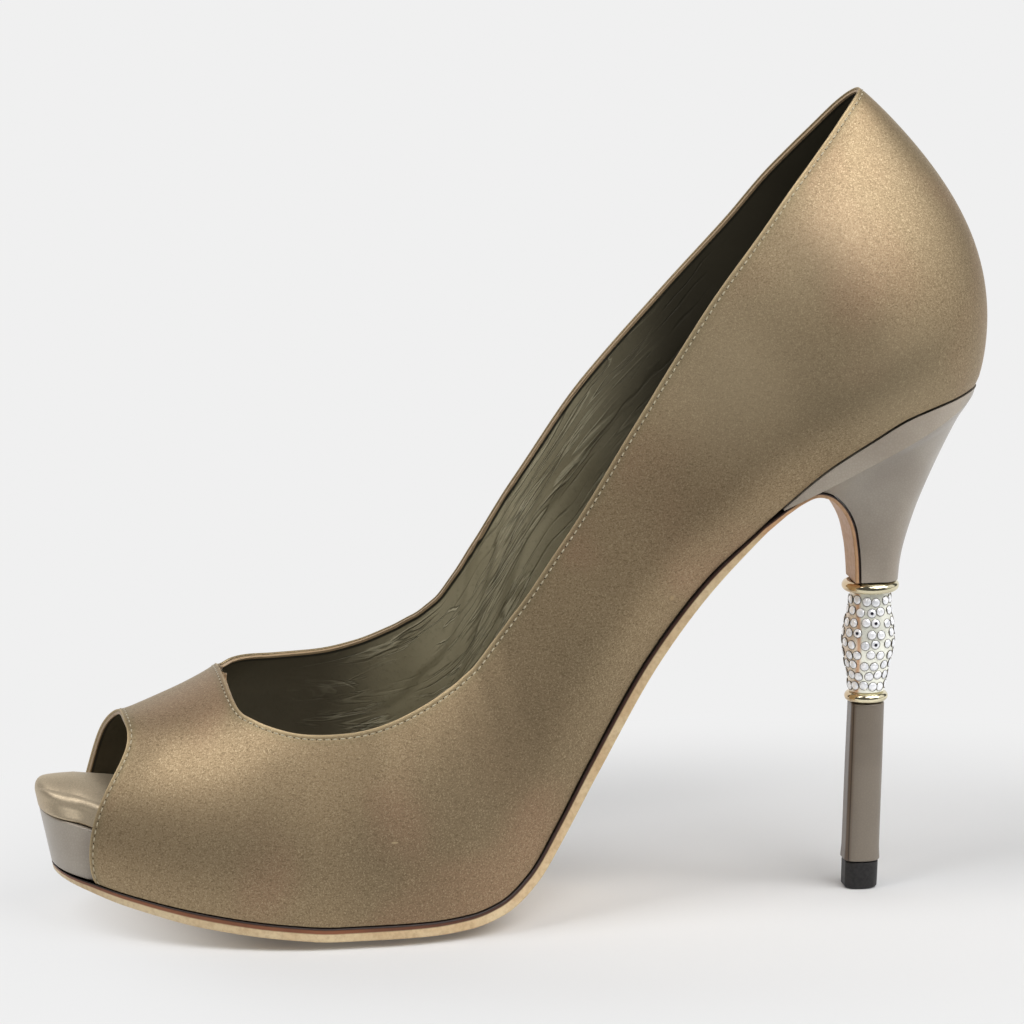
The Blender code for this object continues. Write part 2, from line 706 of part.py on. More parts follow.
def stem_loop(height, width):
    """A squarish section with a flat front, as the covered stem and the tip have."""
    loop = []
    for i in range(ROUND_SIDES):
        angle = 2.0 * math.pi * (i + 0.5) / ROUND_SIDES
        deep = math.copysign(abs(math.cos(angle)) ** (2.0 / STEM_SQUARE), math.cos(angle))
        wide = math.copysign(abs(math.sin(angle)) ** (2.0 / STEM_SQUARE), math.sin(angle))
        if deep < -STEM_FLAT:
            continue
        loop.append((column_x(height) + 0.5 * width * deep, 0.5 * width * wide, height))
    return loop


def make_ring(name, base, width, height):
    loops = []
    for i in range(RING_ROWS + 1):
        angle = math.pi * (i / RING_ROWS - 0.5)
        radius = 0.5 * (width - height) + 0.5 * height * math.cos(angle)
        loops.append(round_loop(base + 0.5 * height * (1.0 + math.sin(angle)), radius))
    return turned_solid(name, loops, GOLD)


def make_heel_column():
    """Tip, stem, lower ring, sleeve and upper ring, each a fitting gap above the one before."""
    tip = [stem_loop(share * TIP_HEIGHT, TIP_WIDTH * width) for share, width in TIP_FORM]
    turned_solid("top_piece", tip, BLACK_RUBBER)
    base = TIP_HEIGHT + FIT
    stem = [stem_loop(base + share * STEM_LENGTH, STEM_WIDTH * width) for share, width in STEM_FORM]
    turned_solid("heel_stem", stem, HEEL_LEATHER)
    base += STEM_LENGTH + FIT
    make_ring("ring_bottom", base, RING_BOTTOM_WIDTH, RING_BOTTOM_HEIGHT)
    base += RING_BOTTOM_HEIGHT + FIT
    form = smooth_curve(*columns(SLEEVE_FORM))
    shares = [i / SLEEVE_ROWS for i in range(SLEEVE_ROWS + 1)]
    sleeve = [round_loop(base + share * SLEEVE_LENGTH, 0.5 * SLEEVE_WIDTH * form(share)) for share in shares]
    turned_solid("jewel_sleeve", sleeve, CRYSTAL_METAL)
    base += SLEEVE_LENGTH + FIT
    make_ring("ring_top", base, RING_TOP_WIDTH, RING_TOP_HEIGHT)


def main():
    for old in list(bpy.data.objects):
        bpy.data.objects.remove(old, do_unlink=True)
    make_outsole()
    make_platform()
    make_insole()
    make_upper()
    make_heel_block()
    make_heel_column()


main()
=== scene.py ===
"""Looks of a satin peep toe pump, left shoe: its finishes and fine surfaces, a floor, lights and a camera.

Metres, +Z up.  The toe points to -X, the heel to +X, the outer side of the foot to -Y.
"""
import math

import bmesh
import bpy
import numpy as np
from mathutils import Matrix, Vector
from mathutils.bvhtree import BVHTree
from mathutils.kdtree import KDTree


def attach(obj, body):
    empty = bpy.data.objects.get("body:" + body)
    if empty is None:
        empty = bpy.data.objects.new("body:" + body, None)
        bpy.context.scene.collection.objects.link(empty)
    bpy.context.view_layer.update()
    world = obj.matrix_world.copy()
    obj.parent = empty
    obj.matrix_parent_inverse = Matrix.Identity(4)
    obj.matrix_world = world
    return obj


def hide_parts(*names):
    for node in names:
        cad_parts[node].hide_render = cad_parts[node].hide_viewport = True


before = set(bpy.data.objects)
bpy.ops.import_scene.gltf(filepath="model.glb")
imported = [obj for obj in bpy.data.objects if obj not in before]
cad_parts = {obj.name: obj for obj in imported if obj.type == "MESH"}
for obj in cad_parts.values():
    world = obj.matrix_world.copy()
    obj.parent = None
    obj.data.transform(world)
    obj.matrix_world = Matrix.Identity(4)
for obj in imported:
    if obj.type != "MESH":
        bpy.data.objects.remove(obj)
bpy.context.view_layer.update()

# Outsole.  A single cut of sole leather with a burnished edge: it follows the bottom of the last over the
# arch, is skived thin, and runs down the front of the heel as a flap.  It is cemented on last of all.
LENGTH = 0.2220
BALL_WIDTH = 0.0760
WAIST_WIDTH = 0.0390
SEAT_WIDTH = 0.0450
TOE_SPRING = 0.0100
HEEL_HEIGHT = 0.1196
OUTSOLE = 0.0032
FLAP = 0.0011
FIT = 0.0003
EDGE_LIFT = 0.0018
TOE_TIP = -0.315
TOE_START = -0.045
TOE_ROUND = 1.8
TOE_BLUNT = 2.06
TOE_SWING = 0.0010
INSET_WIDTH = 0.0190
SLANT_LIMIT = 1.6
SLOPE_STEP = 0.0005
TOE_CLOSE = 0.9992
TOE_END = -0.124
ARCH_START = 0.072
TOE_STEPS = 46
TREAD_STEPS = 22
ARCH_STEPS = 60
SEAT_START = 0.531
SEAT_END = 0.6545
SEAT_ROUND = 2.3
OUTSOLE_BEND = 0.415
FLAP_STATION = 0.416
# Height of the bottom of the last in front of the tread, as a share of TOE_SPRING.
FORE_LINE = (
    # along, spring, lean
    (-0.350, 1.220, 12.0),
    (-0.315, 1.000, 12.0),
    (-0.285, 0.815, 7.0),
    (-0.250, 0.615, 2.0),
    (-0.171, 0.300, 0.0),
    (-0.090, 0.080, 0.0),
    (-0.040, 0.000, 0.0),
)
# The same line behind the tread, as a share of the height from tread to seat.
ARCH_LINE = (
    # along, rise, lean
    (0.054, 0.000, 0.0),
    (0.099, 0.006, 8.0),
    (0.135, 0.026, 22.0),
    (0.169, 0.077, 38.0),
    (0.198, 0.160, 50.0),
    (0.234, 0.282, 57.0),
    (0.297, 0.490, 56.0),
    (0.360, 0.648, 51.0),
    (0.405, 0.732, 46.0),
    (0.437, 0.788, 43.0),
    (0.482, 0.861, 36.0),
    (0.523, 0.913, 32.0),
    (0.567, 0.961, 26.0),
    (0.613, 0.986, 20.0),
    (0.655, 1.000, 14.0),
    (0.680, 1.000, 12.0),
)
# Half widths of the sole before its ends are rounded, as shares of a named width.
OUTLINE = (
    # along, width, outer side, inner side
    (-0.350, BALL_WIDTH, 0.513, 0.480),
    (-0.126, BALL_WIDTH, 0.513, 0.480),
    (-0.036, BALL_WIDTH, 0.505, 0.480),
    (0.023, BALL_WIDTH, 0.497, 0.462),
    (0.068, BALL_WIDTH, 0.474, 0.421),
    (0.112, BALL_WIDTH, 0.436, 0.375),
    (0.149, BALL_WIDTH, 0.390, 0.324),
    (0.181, WAIST_WIDTH, 0.669, 0.567),
    (0.211, WAIST_WIDTH, 0.590, 0.515),
    (0.253, WAIST_WIDTH, 0.530, 0.490),
    (0.316, WAIST_WIDTH, 0.500, 0.480),
    (0.415, WAIST_WIDTH, 0.500, 0.495),
    (0.468, SEAT_WIDTH, 0.458, 0.458),
    (0.518, SEAT_WIDTH, 0.490, 0.490),
    (0.567, SEAT_WIDTH, 0.500, 0.500),
    (0.681, SEAT_WIDTH, 0.500, 0.500),
)
# Thickness of each layer as a share of its named size, and of the lift of the sole's edge.
LAYERS = (
    # along, outsole, platform, insole, lift
    (-0.350, 0.50, 1.03, 1.95, 0.10),
    (-0.315, 0.50, 1.03, 1.95, 0.10),
    (-0.275, 0.74, 1.05, 1.95, 0.80),
    (-0.225, 0.88, 1.06, 1.90, 1.00),
    (-0.171, 1.00, 1.06, 1.30, 1.00),
    (0.000, 1.00, 1.00, 1.00, 1.00),
    (0.090, 1.00, 0.97, 0.95, 0.95),
    (0.144, 0.95, 0.83, 0.90, 0.75),
    (0.181, 0.90, 0.60, 0.88, 0.60),
    (0.211, 0.90, 0.32, 0.86, 0.50),
    (0.248, 0.95, 0.07, 0.85, 0.45),
    (0.360, 0.85, 0.05, 0.85, 0.30),
    (0.415, 0.50, 0.05, 0.85, 0.00),
    (0.681, 0.40, 0.05, 0.85, 0.00),
)
# The flap's front face and the heel's back, from the bend down to the neck.
BREAST = (
    # along, rise, width of the flap, heel back along, heel back rise, widest width
    (0.224, 1.145, 0.813, 0.985, 0.992, 0.985),
    (0.386, 1.283, 0.760, 0.906, 0.945, 0.920),
    (0.549, 1.331, 0.596, 0.780, 0.868, 0.780),
    (0.703, 1.247, 0.409, 0.604, 0.730, 0.590),
    (0.837, 1.054, 0.234, 0.407, 0.562, 0.400),
    (0.931, 0.795, 0.111, 0.220, 0.382, 0.235),
    (0.976, 0.476, 0.047, 0.077, 0.203, 0.110),
    (0.992, 0.235, 0.018, 0.022, 0.093, 0.040),
    (1.000, 0.000, 0.000, 0.000, 0.000, 0.000),
)
TIP_X = 0.1193
HEEL_LEAN = math.tan(math.radians(1.6))
NECK_HEIGHT = 0.0736
NECK_WIDTH = 0.0114
NECK_DEPTH = 0.0110
NECK_SHIFT = 0.0008
SOLE_CORNER = 0.00035
FLAP_CORNER = 0.0002
CORNER_STEPS = 6
FACE_STEPS = 26
ROUND_HIGH = 0.45
ROUND_WIDE = 0.8


def smooth_curve(stations, values):
    """Return a monotone cubic curve through the values, one for each station."""
    xs = np.asarray(stations, float)
    ys = np.asarray(values, float)
    step = np.diff(xs)
    grade = np.diff(ys) / step
    slope = np.zeros(len(xs))
    slope[0] = grade[0]
    slope[-1] = grade[-1]
    for i in range(1, len(xs) - 1):
        before = grade[i - 1]
        after = grade[i]
        if before * after > 0.0:
            heavy = 2.0 * step[i] + step[i - 1]
            light = step[i] + 2.0 * step[i - 1]
            slope[i] = (heavy + light) / (heavy / before + light / after)

    def at(x):
        i = int(np.clip(np.searchsorted(xs, x) - 1, 0, len(step) - 1))
        u = (min(max(x, xs[0]), xs[-1]) - xs[i]) / step[i]
        rest = 1.0 - u
        near = ys[i] * (1.0 + 2.0 * u) * rest * rest + slope[i] * step[i] * u * rest * rest
        far = ys[i + 1] * (3.0 - 2.0 * u) * u * u - slope[i + 1] * step[i] * u * u * rest
        return near + far

    return at


def table_curves(table):
    """A smooth curve for each column of a table after its first."""
    stations, *rest = zip(*table)
    return [smooth_curve(stations, column) for column in rest]


FEATHER_HEIGHT = smooth_curve(
    [row[0] for row in FORE_LINE + ARCH_LINE],
    [OUTSOLE + TOE_SPRING * row[1] for row in FORE_LINE]
    + [OUTSOLE + (HEEL_HEIGHT - OUTSOLE) * row[1] for row in ARCH_LINE])
FEATHER_LEAN = smooth_curve(
    [row[0] for row in FORE_LINE + ARCH_LINE],
    [math.radians(row[2]) for row in FORE_LINE + ARCH_LINE])
OUTER_WIDE, INNER_WIDE = table_curves([(row[0], row[1] * row[2], row[1] * row[3]) for row in OUTLINE])
WIDE = {-1: OUTER_WIDE, 1: INNER_WIDE}
OUTSOLE_SHARE, PLATFORM_SHARE, INSOLE_SHARE, LIFT_SHARE = table_curves(LAYERS)


def seat_closing(along):
    """Share of the full width that is left where the seat is rounded."""
    if along <= SEAT_START:
        return 1.0
    share = min((along - SEAT_START) / (SEAT_END - SEAT_START), 1.0)
    return math.sqrt(max(1.0 - share ** SEAT_ROUND, 0.0))


def outline_width(along, side, tip):
    """Half width of the sole's outline, rounded off at the toe and at the seat."""
    close = 1.0
    if along < TOE_START:
        share = min((TOE_START - along) / (TOE_START - tip), 1.0)
        close = max(1.0 - share ** TOE_ROUND, 0.0) ** (1.0 / TOE_BLUNT)
    return WIDE[side](along) * close * seat_closing(along)


def half_width(along, side, inset, tip=TOE_TIP):
    """Half width of a layer set in square to the sole's outline, less so where the sole is narrow."""
    wide = outline_width(along, side, tip)
    slope = (outline_width(along + SLOPE_STEP, side, tip) - wide) / (SLOPE_STEP * LENGTH)
    slant = min(math.hypot(1.0, slope), SLANT_LIMIT)
    return max(wide - inset * slant * min(wide / INSET_WIDTH, 1.0), 0.0)


def swing(along):
    """Sideways offset of the toe towards the inner side."""
    return TOE_SWING * min(max((TOE_START - along) / (TOE_START - TOE_TIP), 0.0), 1.0)


def feather_point(along):
    """The middle of the last's bottom at a station."""
    return np.array([LENGTH * along, 0.0, FEATHER_HEIGHT(along)])


def up_vector(along):
    """The way square to the last's bottom."""
    lean = FEATHER_LEAN(along)
    return np.array([-math.sin(lean), 0.0, math.cos(lean)])


def sole_lift(along):
    """How far the sole's edge lifts."""
    return EDGE_LIFT * LIFT_SHARE(along)


def layer_edge(side, low, high, corner):
    """One edge of a layer's section from its bottom to its top, with both corners rounded."""
    reach_low = low[0] if side < 0 else low[1]
    reach_high = high[0] if side < 0 else high[1]
    start = low[2] + low[3]
    end = high[2] + high[3]
    tall = end - start
    r_low = min(corner[0], ROUND_HIGH * tall, ROUND_WIDE * reach_low)
    r_high = min(corner[1], ROUND_HIGH * tall, ROUND_WIDE * reach_high)
    turns = [0.5 * math.pi * i / CORNER_STEPS for i in range(CORNER_STEPS + 1)]
    rows = [(reach_low - r_low * (1.0 - math.sin(a)), start + r_low * (1.0 - math.cos(a))) for a in turns]
    for i in range(1, CORNER_STEPS):
        share = i / CORNER_STEPS
        place = start + r_low + (tall - r_low - r_high) * share
        rows.append((reach_low + (reach_high - reach_low) * share, place))
    rows += [(reach_high - r_high * (1.0 - math.cos(a)), end - r_high * (1.0 - math.sin(a))) for a in turns]
    return [(side * reach, place, (place - start) / tall) for reach, place in rows]


def layer_face(left, right, level, lift, crown, rim):
    """The bottom or top of a layer's section, lifted at its edges and crowned in its middle."""
    rows = []
    for i in range(1, FACE_STEPS):
        share = math.sin(math.pi * (i / FACE_STEPS - 0.5))
        place = left if share < 0 else right
        rise = lift * max(2.0 * abs(share) - 1.0, 0.0) ** 2 + crown * (1.0 - share * share)
        rows.append((abs(share) * place, level + rise, rim))
    return rows


def layer_loop(low, high, corner):
    """One section of a layer as (across, up, rim) rows, where rim runs from 0 at its bottom to 1 at its top.

    low and high are (half width outer, half width inner, height, edge lift), and high may add its crown.
    """
    crown = high[4] if len(high) > 4 else 0.0
    outer = layer_edge(-1, low, high, corner)
    inner = layer_edge(1, low, high, corner)
    rows = layer_face(outer[0][0], inner[0][0], low[2], low[3], 0.0, 0.0)
    rows += inner
    rows += layer_face(outer[-1][0], inner[-1][0], high[2], high[3], crown, 1.0)[::-1]
    return rows + outer[::-1]


def loop_mesh(name, loops, marks=None):
    """Close a piece from loops of points, with marks as its float attributes, and smooth it."""
    count = len(loops[0])
    points = np.concatenate([np.asarray(loop, float) for loop in loops])
    faces = []
    for i in range(len(loops) - 1):
        for j in range(count):
            k = (j + 1) % count
            faces.append((i * count + j, i * count + k, (i + 1) * count + k, (i + 1) * count + j))
    faces.append(tuple(range(count - 1, -1, -1)))
    faces.append(tuple(range(len(points) - count, len(points))))
    return mesh_piece(name, points, faces, marks or {})


def mesh_piece(name, points, faces, marks, sharp=45.0):
    """Make an object from points and faces with its faces pointing out."""
    mesh = bpy.data.meshes.new(name)
    mesh.from_pydata([tuple(p) for p in points], [], faces)
    for mark, values in marks.items():
        mesh.attributes.new(mark, "FLOAT", "POINT").data.foreach_set("value", np.asarray(values, np.float32))
    shell = bmesh.new()
    shell.from_mesh(mesh)
    bmesh.ops.remove_doubles(shell, verts=shell.verts, dist=2e-6)
    bmesh.ops.recalc_face_normals(shell, faces=shell.faces)
    shell.to_mesh(mesh)
    shell.free()
    mesh.shade_smooth()
    mesh.set_sharp_from_angle(angle=math.radians(sharp))
    piece = bpy.data.objects.new(name, mesh)
    bpy.context.scene.collection.objects.link(piece)
    return piece


def toe_stations(tip, start, count):
    """Stations from just behind the toe's tip, closest together there."""
    reach = (tip - start) * TOE_CLOSE
    return [start + reach * math.cos(0.5 * math.pi * i / count) ** 2 for i in range(count + 1)]


def spread(start, end, count):
    """Even stations after the start, up to the end."""
    return [start + (end - start) * i / count for i in range(1, count + 1)]


def layer_loops(stations, inset, tip, low, high, corner, wider=lambda along: (1.0, 1.0)):
    """Loops of a layer of the sole, with the rim and station of every point.

    inset and wider are for its bottom and its top, and low and high give height and edge lift at a station.
    """
    loops = []
    rims = []
    alongs = []
    for along in stations:
        more = wider(along)
        below = [half_width(along, side, inset[0], tip) * more[0] for side in (-1, 1)]
        above = [half_width(along, side, inset[1], tip) * more[1] for side in (-1, 1)]
        rows = layer_loop((*below, *low(along)), (*above, *high(along)), corner)
        base = feather_point(along) + np.array([0.0, swing(along), 0.0])
        up = up_vector(along)
        loops.append([base + up * row[1] + np.array([0.0, row[0], 0.0]) for row in rows])
        rims += [row[2] for row in rows]
        alongs += [along] * len(rows)
    return loops, rims, alongs


def breast_path(step=6):
    """The flap's front face and its way into the heel, finely, with its share of each BREAST column."""
    bend = feather_point(OUTSOLE_BEND)
    front = TIP_X + HEEL_LEAN * NECK_HEIGHT + NECK_SHIFT - 0.5 * NECK_DEPTH
    tall = bend[2] - NECK_HEIGHT
    places = np.array(BREAST)
    places[:, 0] = bend[0] + (front - bend[0]) * places[:, 0]
    places[:, 1] = NECK_HEIGHT + tall * places[:, 1]
    ahead = np.vstack([places[1] - places[0], places[2:] - places[:-2], places[-1] - places[-2]]) / 2.0
    ahead[0] *= 2.0
    ahead[-1] *= 2.0
    fine = []
    for i in range(len(places) - 1):
        for u in np.arange(step) / step:
            a = (1.0 + 2.0 * u) * (1.0 - u) ** 2
            b = u * (1.0 - u) ** 2
            c = u * u * (3.0 - 2.0 * u)
            d = u * u * (u - 1.0)
            fine.append(a * places[i] + b * ahead[i] + c * places[i + 1] + d * ahead[i + 1])
    fine.append(places[-1])
    fine = np.array(fine)
    run = np.gradient(fine[:, :2], axis=0)
    run /= np.linalg.norm(run, axis=1)[:, None]
    return fine, np.stack([-run[:, 1], run[:, 0]], axis=1)


def blend_width(share):
    """Half width between the heel's neck and its seat."""
    return 0.5 * (NECK_WIDTH + share * (SEAT_WIDTH - NECK_WIDTH))


def outsole_mesh():
    """The sole leather under the shoe, and on down the front of the heel."""
    stations = toe_stations(TOE_TIP, TOE_END, TOE_STEPS) + spread(TOE_END, ARCH_START, TREAD_STEPS)
    stations += spread(ARCH_START, OUTSOLE_BEND, ARCH_STEPS)
    loops, rims, alongs = layer_loops(
        stations, (0.0, 0.0), TOE_TIP,
        lambda a: (-OUTSOLE * OUTSOLE_SHARE(a), sole_lift(a)), lambda a: (0.0, sole_lift(a)),
        (SOLE_CORNER, SOLE_CORNER))
    fine, into = breast_path()
    for row, way in zip(fine, into):
        half = blend_width(row[2])
        rows = layer_loop((half, half, 0.0, 0.0), (half, half, FLAP, 0.0), (SOLE_CORNER, FLAP_CORNER))
        loops.append([np.array([row[0] + way[0] * r[1], r[0], row[1] + way[1] * r[1]]) for r in rows])
        rims += [r[2] for r in rows]
        alongs += [FLAP_STATION] * len(rows)
    return loop_mesh("outsole", loops, {"rim": rims, "station": alongs})


class Shade:
    """A socket of a material's nodes that takes Python's arithmetic."""

    def __init__(self, socket):
        self.socket = socket

    def node(self, kind, settings=None, output=0, **sockets):
        """Add a node: its settings, then each socket's value or link, by name with _ or by i and number."""
        tree = self.socket.id_data
        made = tree.nodes.new(kind)
        for name, value in (settings or {}).items():
            setattr(made, name, value)
        for name, value in sockets.items():
            key = int(name[1:]) if name[0] == "i" and name[1:].isdigit() else name.replace("_", " ")
            if isinstance(value, Shade):
                tree.links.new(value.socket, made.inputs[key])
            else:
                made.inputs[key].default_value = value
        return Shade(made.outputs[output])

    def math(self, operation, *values):
        sockets = {f"i{i}": value for i, value in enumerate(values)}
        return self.node("ShaderNodeMath", {"operation": operation}, **sockets)

    def __add__(self, other):
        return self.math("ADD", self, other)

    def __sub__(self, other):
        return self.math("SUBTRACT", self, other)

    def __rsub__(self, other):
        return self.math("SUBTRACT", other, self)

    def __mul__(self, other):
        return self.math("MULTIPLY", self, other)

    __radd__ = __add__
    __rmul__ = __mul__

    def between(self, low, high, start=0.0, end=1.0):
        """Run smoothly from start to end as this value goes from low to high."""
        return self.node(
            "ShaderNodeMapRange", {"interpolation_type": "SMOOTHSTEP"},
            Value=self, From_Min=low, From_Max=high, To_Min=start, To_Max=end)

    def hill(self, middle, width):
        """1 at the middle, falling smoothly to 0 at that width on either side."""
        return self.math("ABSOLUTE", self - middle).between(0.0, width, 1.0, 0.0)

    def mix(self, first, second):
        """Blend two colours by this value."""
        return self.node("ShaderNodeMix", {"data_type": "RGBA"}, 2, Factor=self, i6=first, i7=second)

    def noise(self, scale, detail, rough, distortion=0.0, stretch=(1.0, 1.0, 1.0), turn=(0.0, 0.0, 0.0)):
        """Noise on this vector, stretched and turned first."""
        place = self.node("ShaderNodeMapping", None, Vector=self, Scale=stretch, Rotation=turn)
        return place.node(
            "ShaderNodeTexNoise", None, Vector=place, Scale=scale, Detail=detail,
            Roughness=rough, Distortion=distortion)

    def spot(self, middle, near, far, stretch=(1.0, 1.0, 1.0)):
        """1 within a distance of a point, falling smoothly to 0 further out."""
        place = self.node("ShaderNodeMapping", None, Vector=self, Scale=stretch)
        middle = tuple(m * v for m, v in zip(middle, stretch))
        gap = place.node("ShaderNodeVectorMath", {"operation": "DISTANCE"}, "Value", i0=place, i1=middle)
        return gap.between(near, far, 1.0, 0.0)

    def mark(self, name):
        """A float attribute of the mesh."""
        return self.node("ShaderNodeAttribute", {"attribute_name": name}, 2)


def colour(red, green, blue):
    """A colour given as it shows on a screen, from 0 to 255, turned to linear light."""
    return tuple((v / 255.0) ** 2.2 for v in (red, green, blue)) + (1.0,)


def finish(name, roughness, metallic=0.0, **sockets):
    """A new material: returns it, its place vector and a function that sets what varies."""
    material = bpy.data.materials.new(name)
    material.use_nodes = True
    shader = material.node_tree.nodes["Principled BSDF"]
    shader.inputs["Roughness"].default_value = roughness
    shader.inputs["Metallic"].default_value = metallic
    for key, value in sockets.items():
        shader.inputs[key.replace("_", " ")].default_value = value
    place = Shade(material.node_tree.nodes.new("ShaderNodeTexCoord").outputs["Object"])

    def vary(height=None, depth=0.0001, strength=1.0, **links):
        for key, value in links.items():
            material.node_tree.links.new(value.socket, shader.inputs[key.replace("_", " ")])
        if height is not None:
            bump = height.node("ShaderNodeBump", None, Height=height, Distance=depth, Strength=strength)
            material.node_tree.links.new(bump.socket, shader.inputs["Normal"])

    return material, place, vary


def sole_leather():
    """Raw on its underside, peach on the flap, brown where the edge is dyed, and dark along its top, partly
    ink and partly painted shade of the gap under the upper.
    """
    material, place, vary = finish("sole leather", 0.5)
    rim = place.mark("rim")
    grain = place.noise(900.0, 4.0, 0.6)
    cloud = place.noise(60.0, 3.0, 0.6)
    raw = cloud.between(0.3, 0.7).mix(colour(222, 200, 160), colour(206, 176, 134))
    raw = (grain.between(0.35, 0.75) * 0.35).mix(raw, colour(150, 112, 78))
    dyed = cloud.between(0.3, 0.7).mix(colour(134, 84, 56), colour(104, 62, 40))
    flap = (grain.between(0.35, 0.75) * 0.5).mix(colour(200, 158, 118), colour(172, 130, 96))
    station = place.mark("station")
    raw = station.between(0.405, FLAP_STATION).mix(raw, flap)
    waist = station.between(-0.05, 0.16)
    dyed = waist.mix(dyed, colour(66, 38, 26))
    tone = (rim - waist * 0.10).between(0.54, 0.66).mix(raw, dyed)
    # Dark band along the top of the edge: dark ink, and painted shade of the gap where the upper meets the
    # sole.
    tone = rim.between(0.82, 0.94).mix(tone, colour(40, 28, 22))
    vary(grain, 0.00006, 0.5, Base_Color=tone, Roughness=grain.between(0.3, 0.8, 0.42, 0.6))
    return material


def dress(piece, material, node):
    """Give a piece its material and let it stand for a solid of the frame."""
    piece.data.materials.clear()
    piece.data.materials.append(material)
    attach(piece, "root")
    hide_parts(node)


dress(outsole_mesh(), sole_leather(), "outsole")

# Platform.  A block under the ball of the foot, covered with smooth grey-taupe leather before the outsole
# goes on.  Only its front shows, between the satin's edges.
PLATFORM = 0.0130
UPPER_WALL = 0.0018
WELT = 0.0003
PLATFORM_END = 0.248
PLATFORM_STEPS = 50
PLATFORM_CORNERS = (0.0003, 0.0007)
# How much wider its foot and its top are in front of the satin, and the stations between which that grows.
PLATFORM_WIDER = (0.19, 0.05)
PLATFORM_BARE = (-0.272, -0.285)


def bed_height(along):
    """Height of the platform's top over the outsole."""
    return PLATFORM * PLATFORM_SHARE(along)


def bed_lift(along):
    """How far the edges of the platform's top lift: it is flat where the platform is thick."""
    return sole_lift(along) * (1.0 - min(PLATFORM_SHARE(along), 1.0))


def cover_leather(name="cover leather", light=(176, 166, 152), dark=(160, 149, 135)):
    """Smooth calf with fine pores under a soft gloss."""
    material, place, vary = finish(name, 0.42, Coat_Weight=0.30, Coat_Roughness=0.12)
    cells = place.node("ShaderNodeTexVoronoi", {"feature": "DISTANCE_TO_EDGE"}, Vector=place, Scale=1500.0)
    cloud = place.noise(45.0, 3.0, 0.55)
    pores = cells.between(0.0, 0.25, 1.0, 0.0)
    tone = cloud.between(0.3, 0.7).mix(colour(*light), colour(*dark))
    tone = (pores * 0.12).mix(tone, colour(96, 86, 78))
    relief = place.noise(700.0, 3.0, 0.6) * 0.5 - pores * 0.4
    vary(relief, 0.00003, 0.5, Base_Color=tone, Roughness=cloud.between(0.3, 0.7, 0.38, 0.46))
    return material


def ramp(value, start, end):
    """0 up to start, 1 from end on, and straight between them."""
    return min(max((value - start) / (end - start), 0.0), 1.0)


def platform_mesh():
    """The block, its foot a little wider where the satin doesn't cover it."""
    inset = UPPER_WALL + WELT + 2.0 * FIT
    stations = toe_stations(TOE_TIP, TOE_END, TOE_STEPS) + spread(TOE_END, PLATFORM_END, PLATFORM_STEPS)
    loops, rims, alongs = layer_loops(
        stations, (inset, inset), TOE_TIP,
        lambda a: (FIT, sole_lift(a)), lambda a: (bed_height(a), bed_lift(a)), PLATFORM_CORNERS,
        lambda a: [1.0 + more * ramp(a, *PLATFORM_BARE) for more in PLATFORM_WIDER])
    return loop_mesh("platform", loops, {"rim": rims, "station": alongs})


HEEL_COVER = cover_leather()
dress(platform_mesh(), HEEL_COVER, "platform")

# Insole.  A padded board whose toe is wrapped in the upper's satin; behind the peep hole a sock of soft
# olive-grey leather is glued over it.  It lies on the platform and runs up the arch to the seat.
INSOLE = 0.0030
INSOLE_EASE = 0.0011
INSOLE_TIP = -0.0005
INSOLE_BACK = 0.006
INSOLE_CORNERS = (0.0005, 0.0026)
INSOLE_NOSE = 0.0028
BED_STEPS = 90
SEAT_STEPS = 20
SEAT_CLOSE = 0.9995
INSOLE_CROWN = 0.0032
CROWN_FADE = 0.06
CROWN_RISE = 0.008
INSOLE_BLUNT = 0.34
INSOLE_BLUNT_START = -0.283
SOCK_START = -0.205
# Painted highlights and painted shade on the satin: patches made lighter where light falls and darker where
# shade lies. Columns: middle, reach, strength, and whether it is lighter.
PAINTED_SATIN_LIGHT = (
    ((0.0856, -0.0235, 0.1256), 0.030, 0.28, True),
    ((0.1222, -0.0252, 0.1228), 0.026, 0.22, True),
    ((0.1050, -0.0220, 0.1540), 0.022, 0.14, True),
    ((0.0740, -0.0248, 0.1010), 0.024, 0.22, False),
    ((0.0297, -0.0289, 0.0451), 0.034, 0.32, False),
    ((0.0100, -0.0374, 0.0130), 0.030, 0.20, False),
)
# A pulled thread under the ankle and a pale snag over the ball: middle and stretch.
SATIN_PULL = (0.0704, -0.0223, 0.0753)
SATIN_SNAG = ((0.0043, -0.0375, 0.0243), (1.0, 1.0, 3.4))


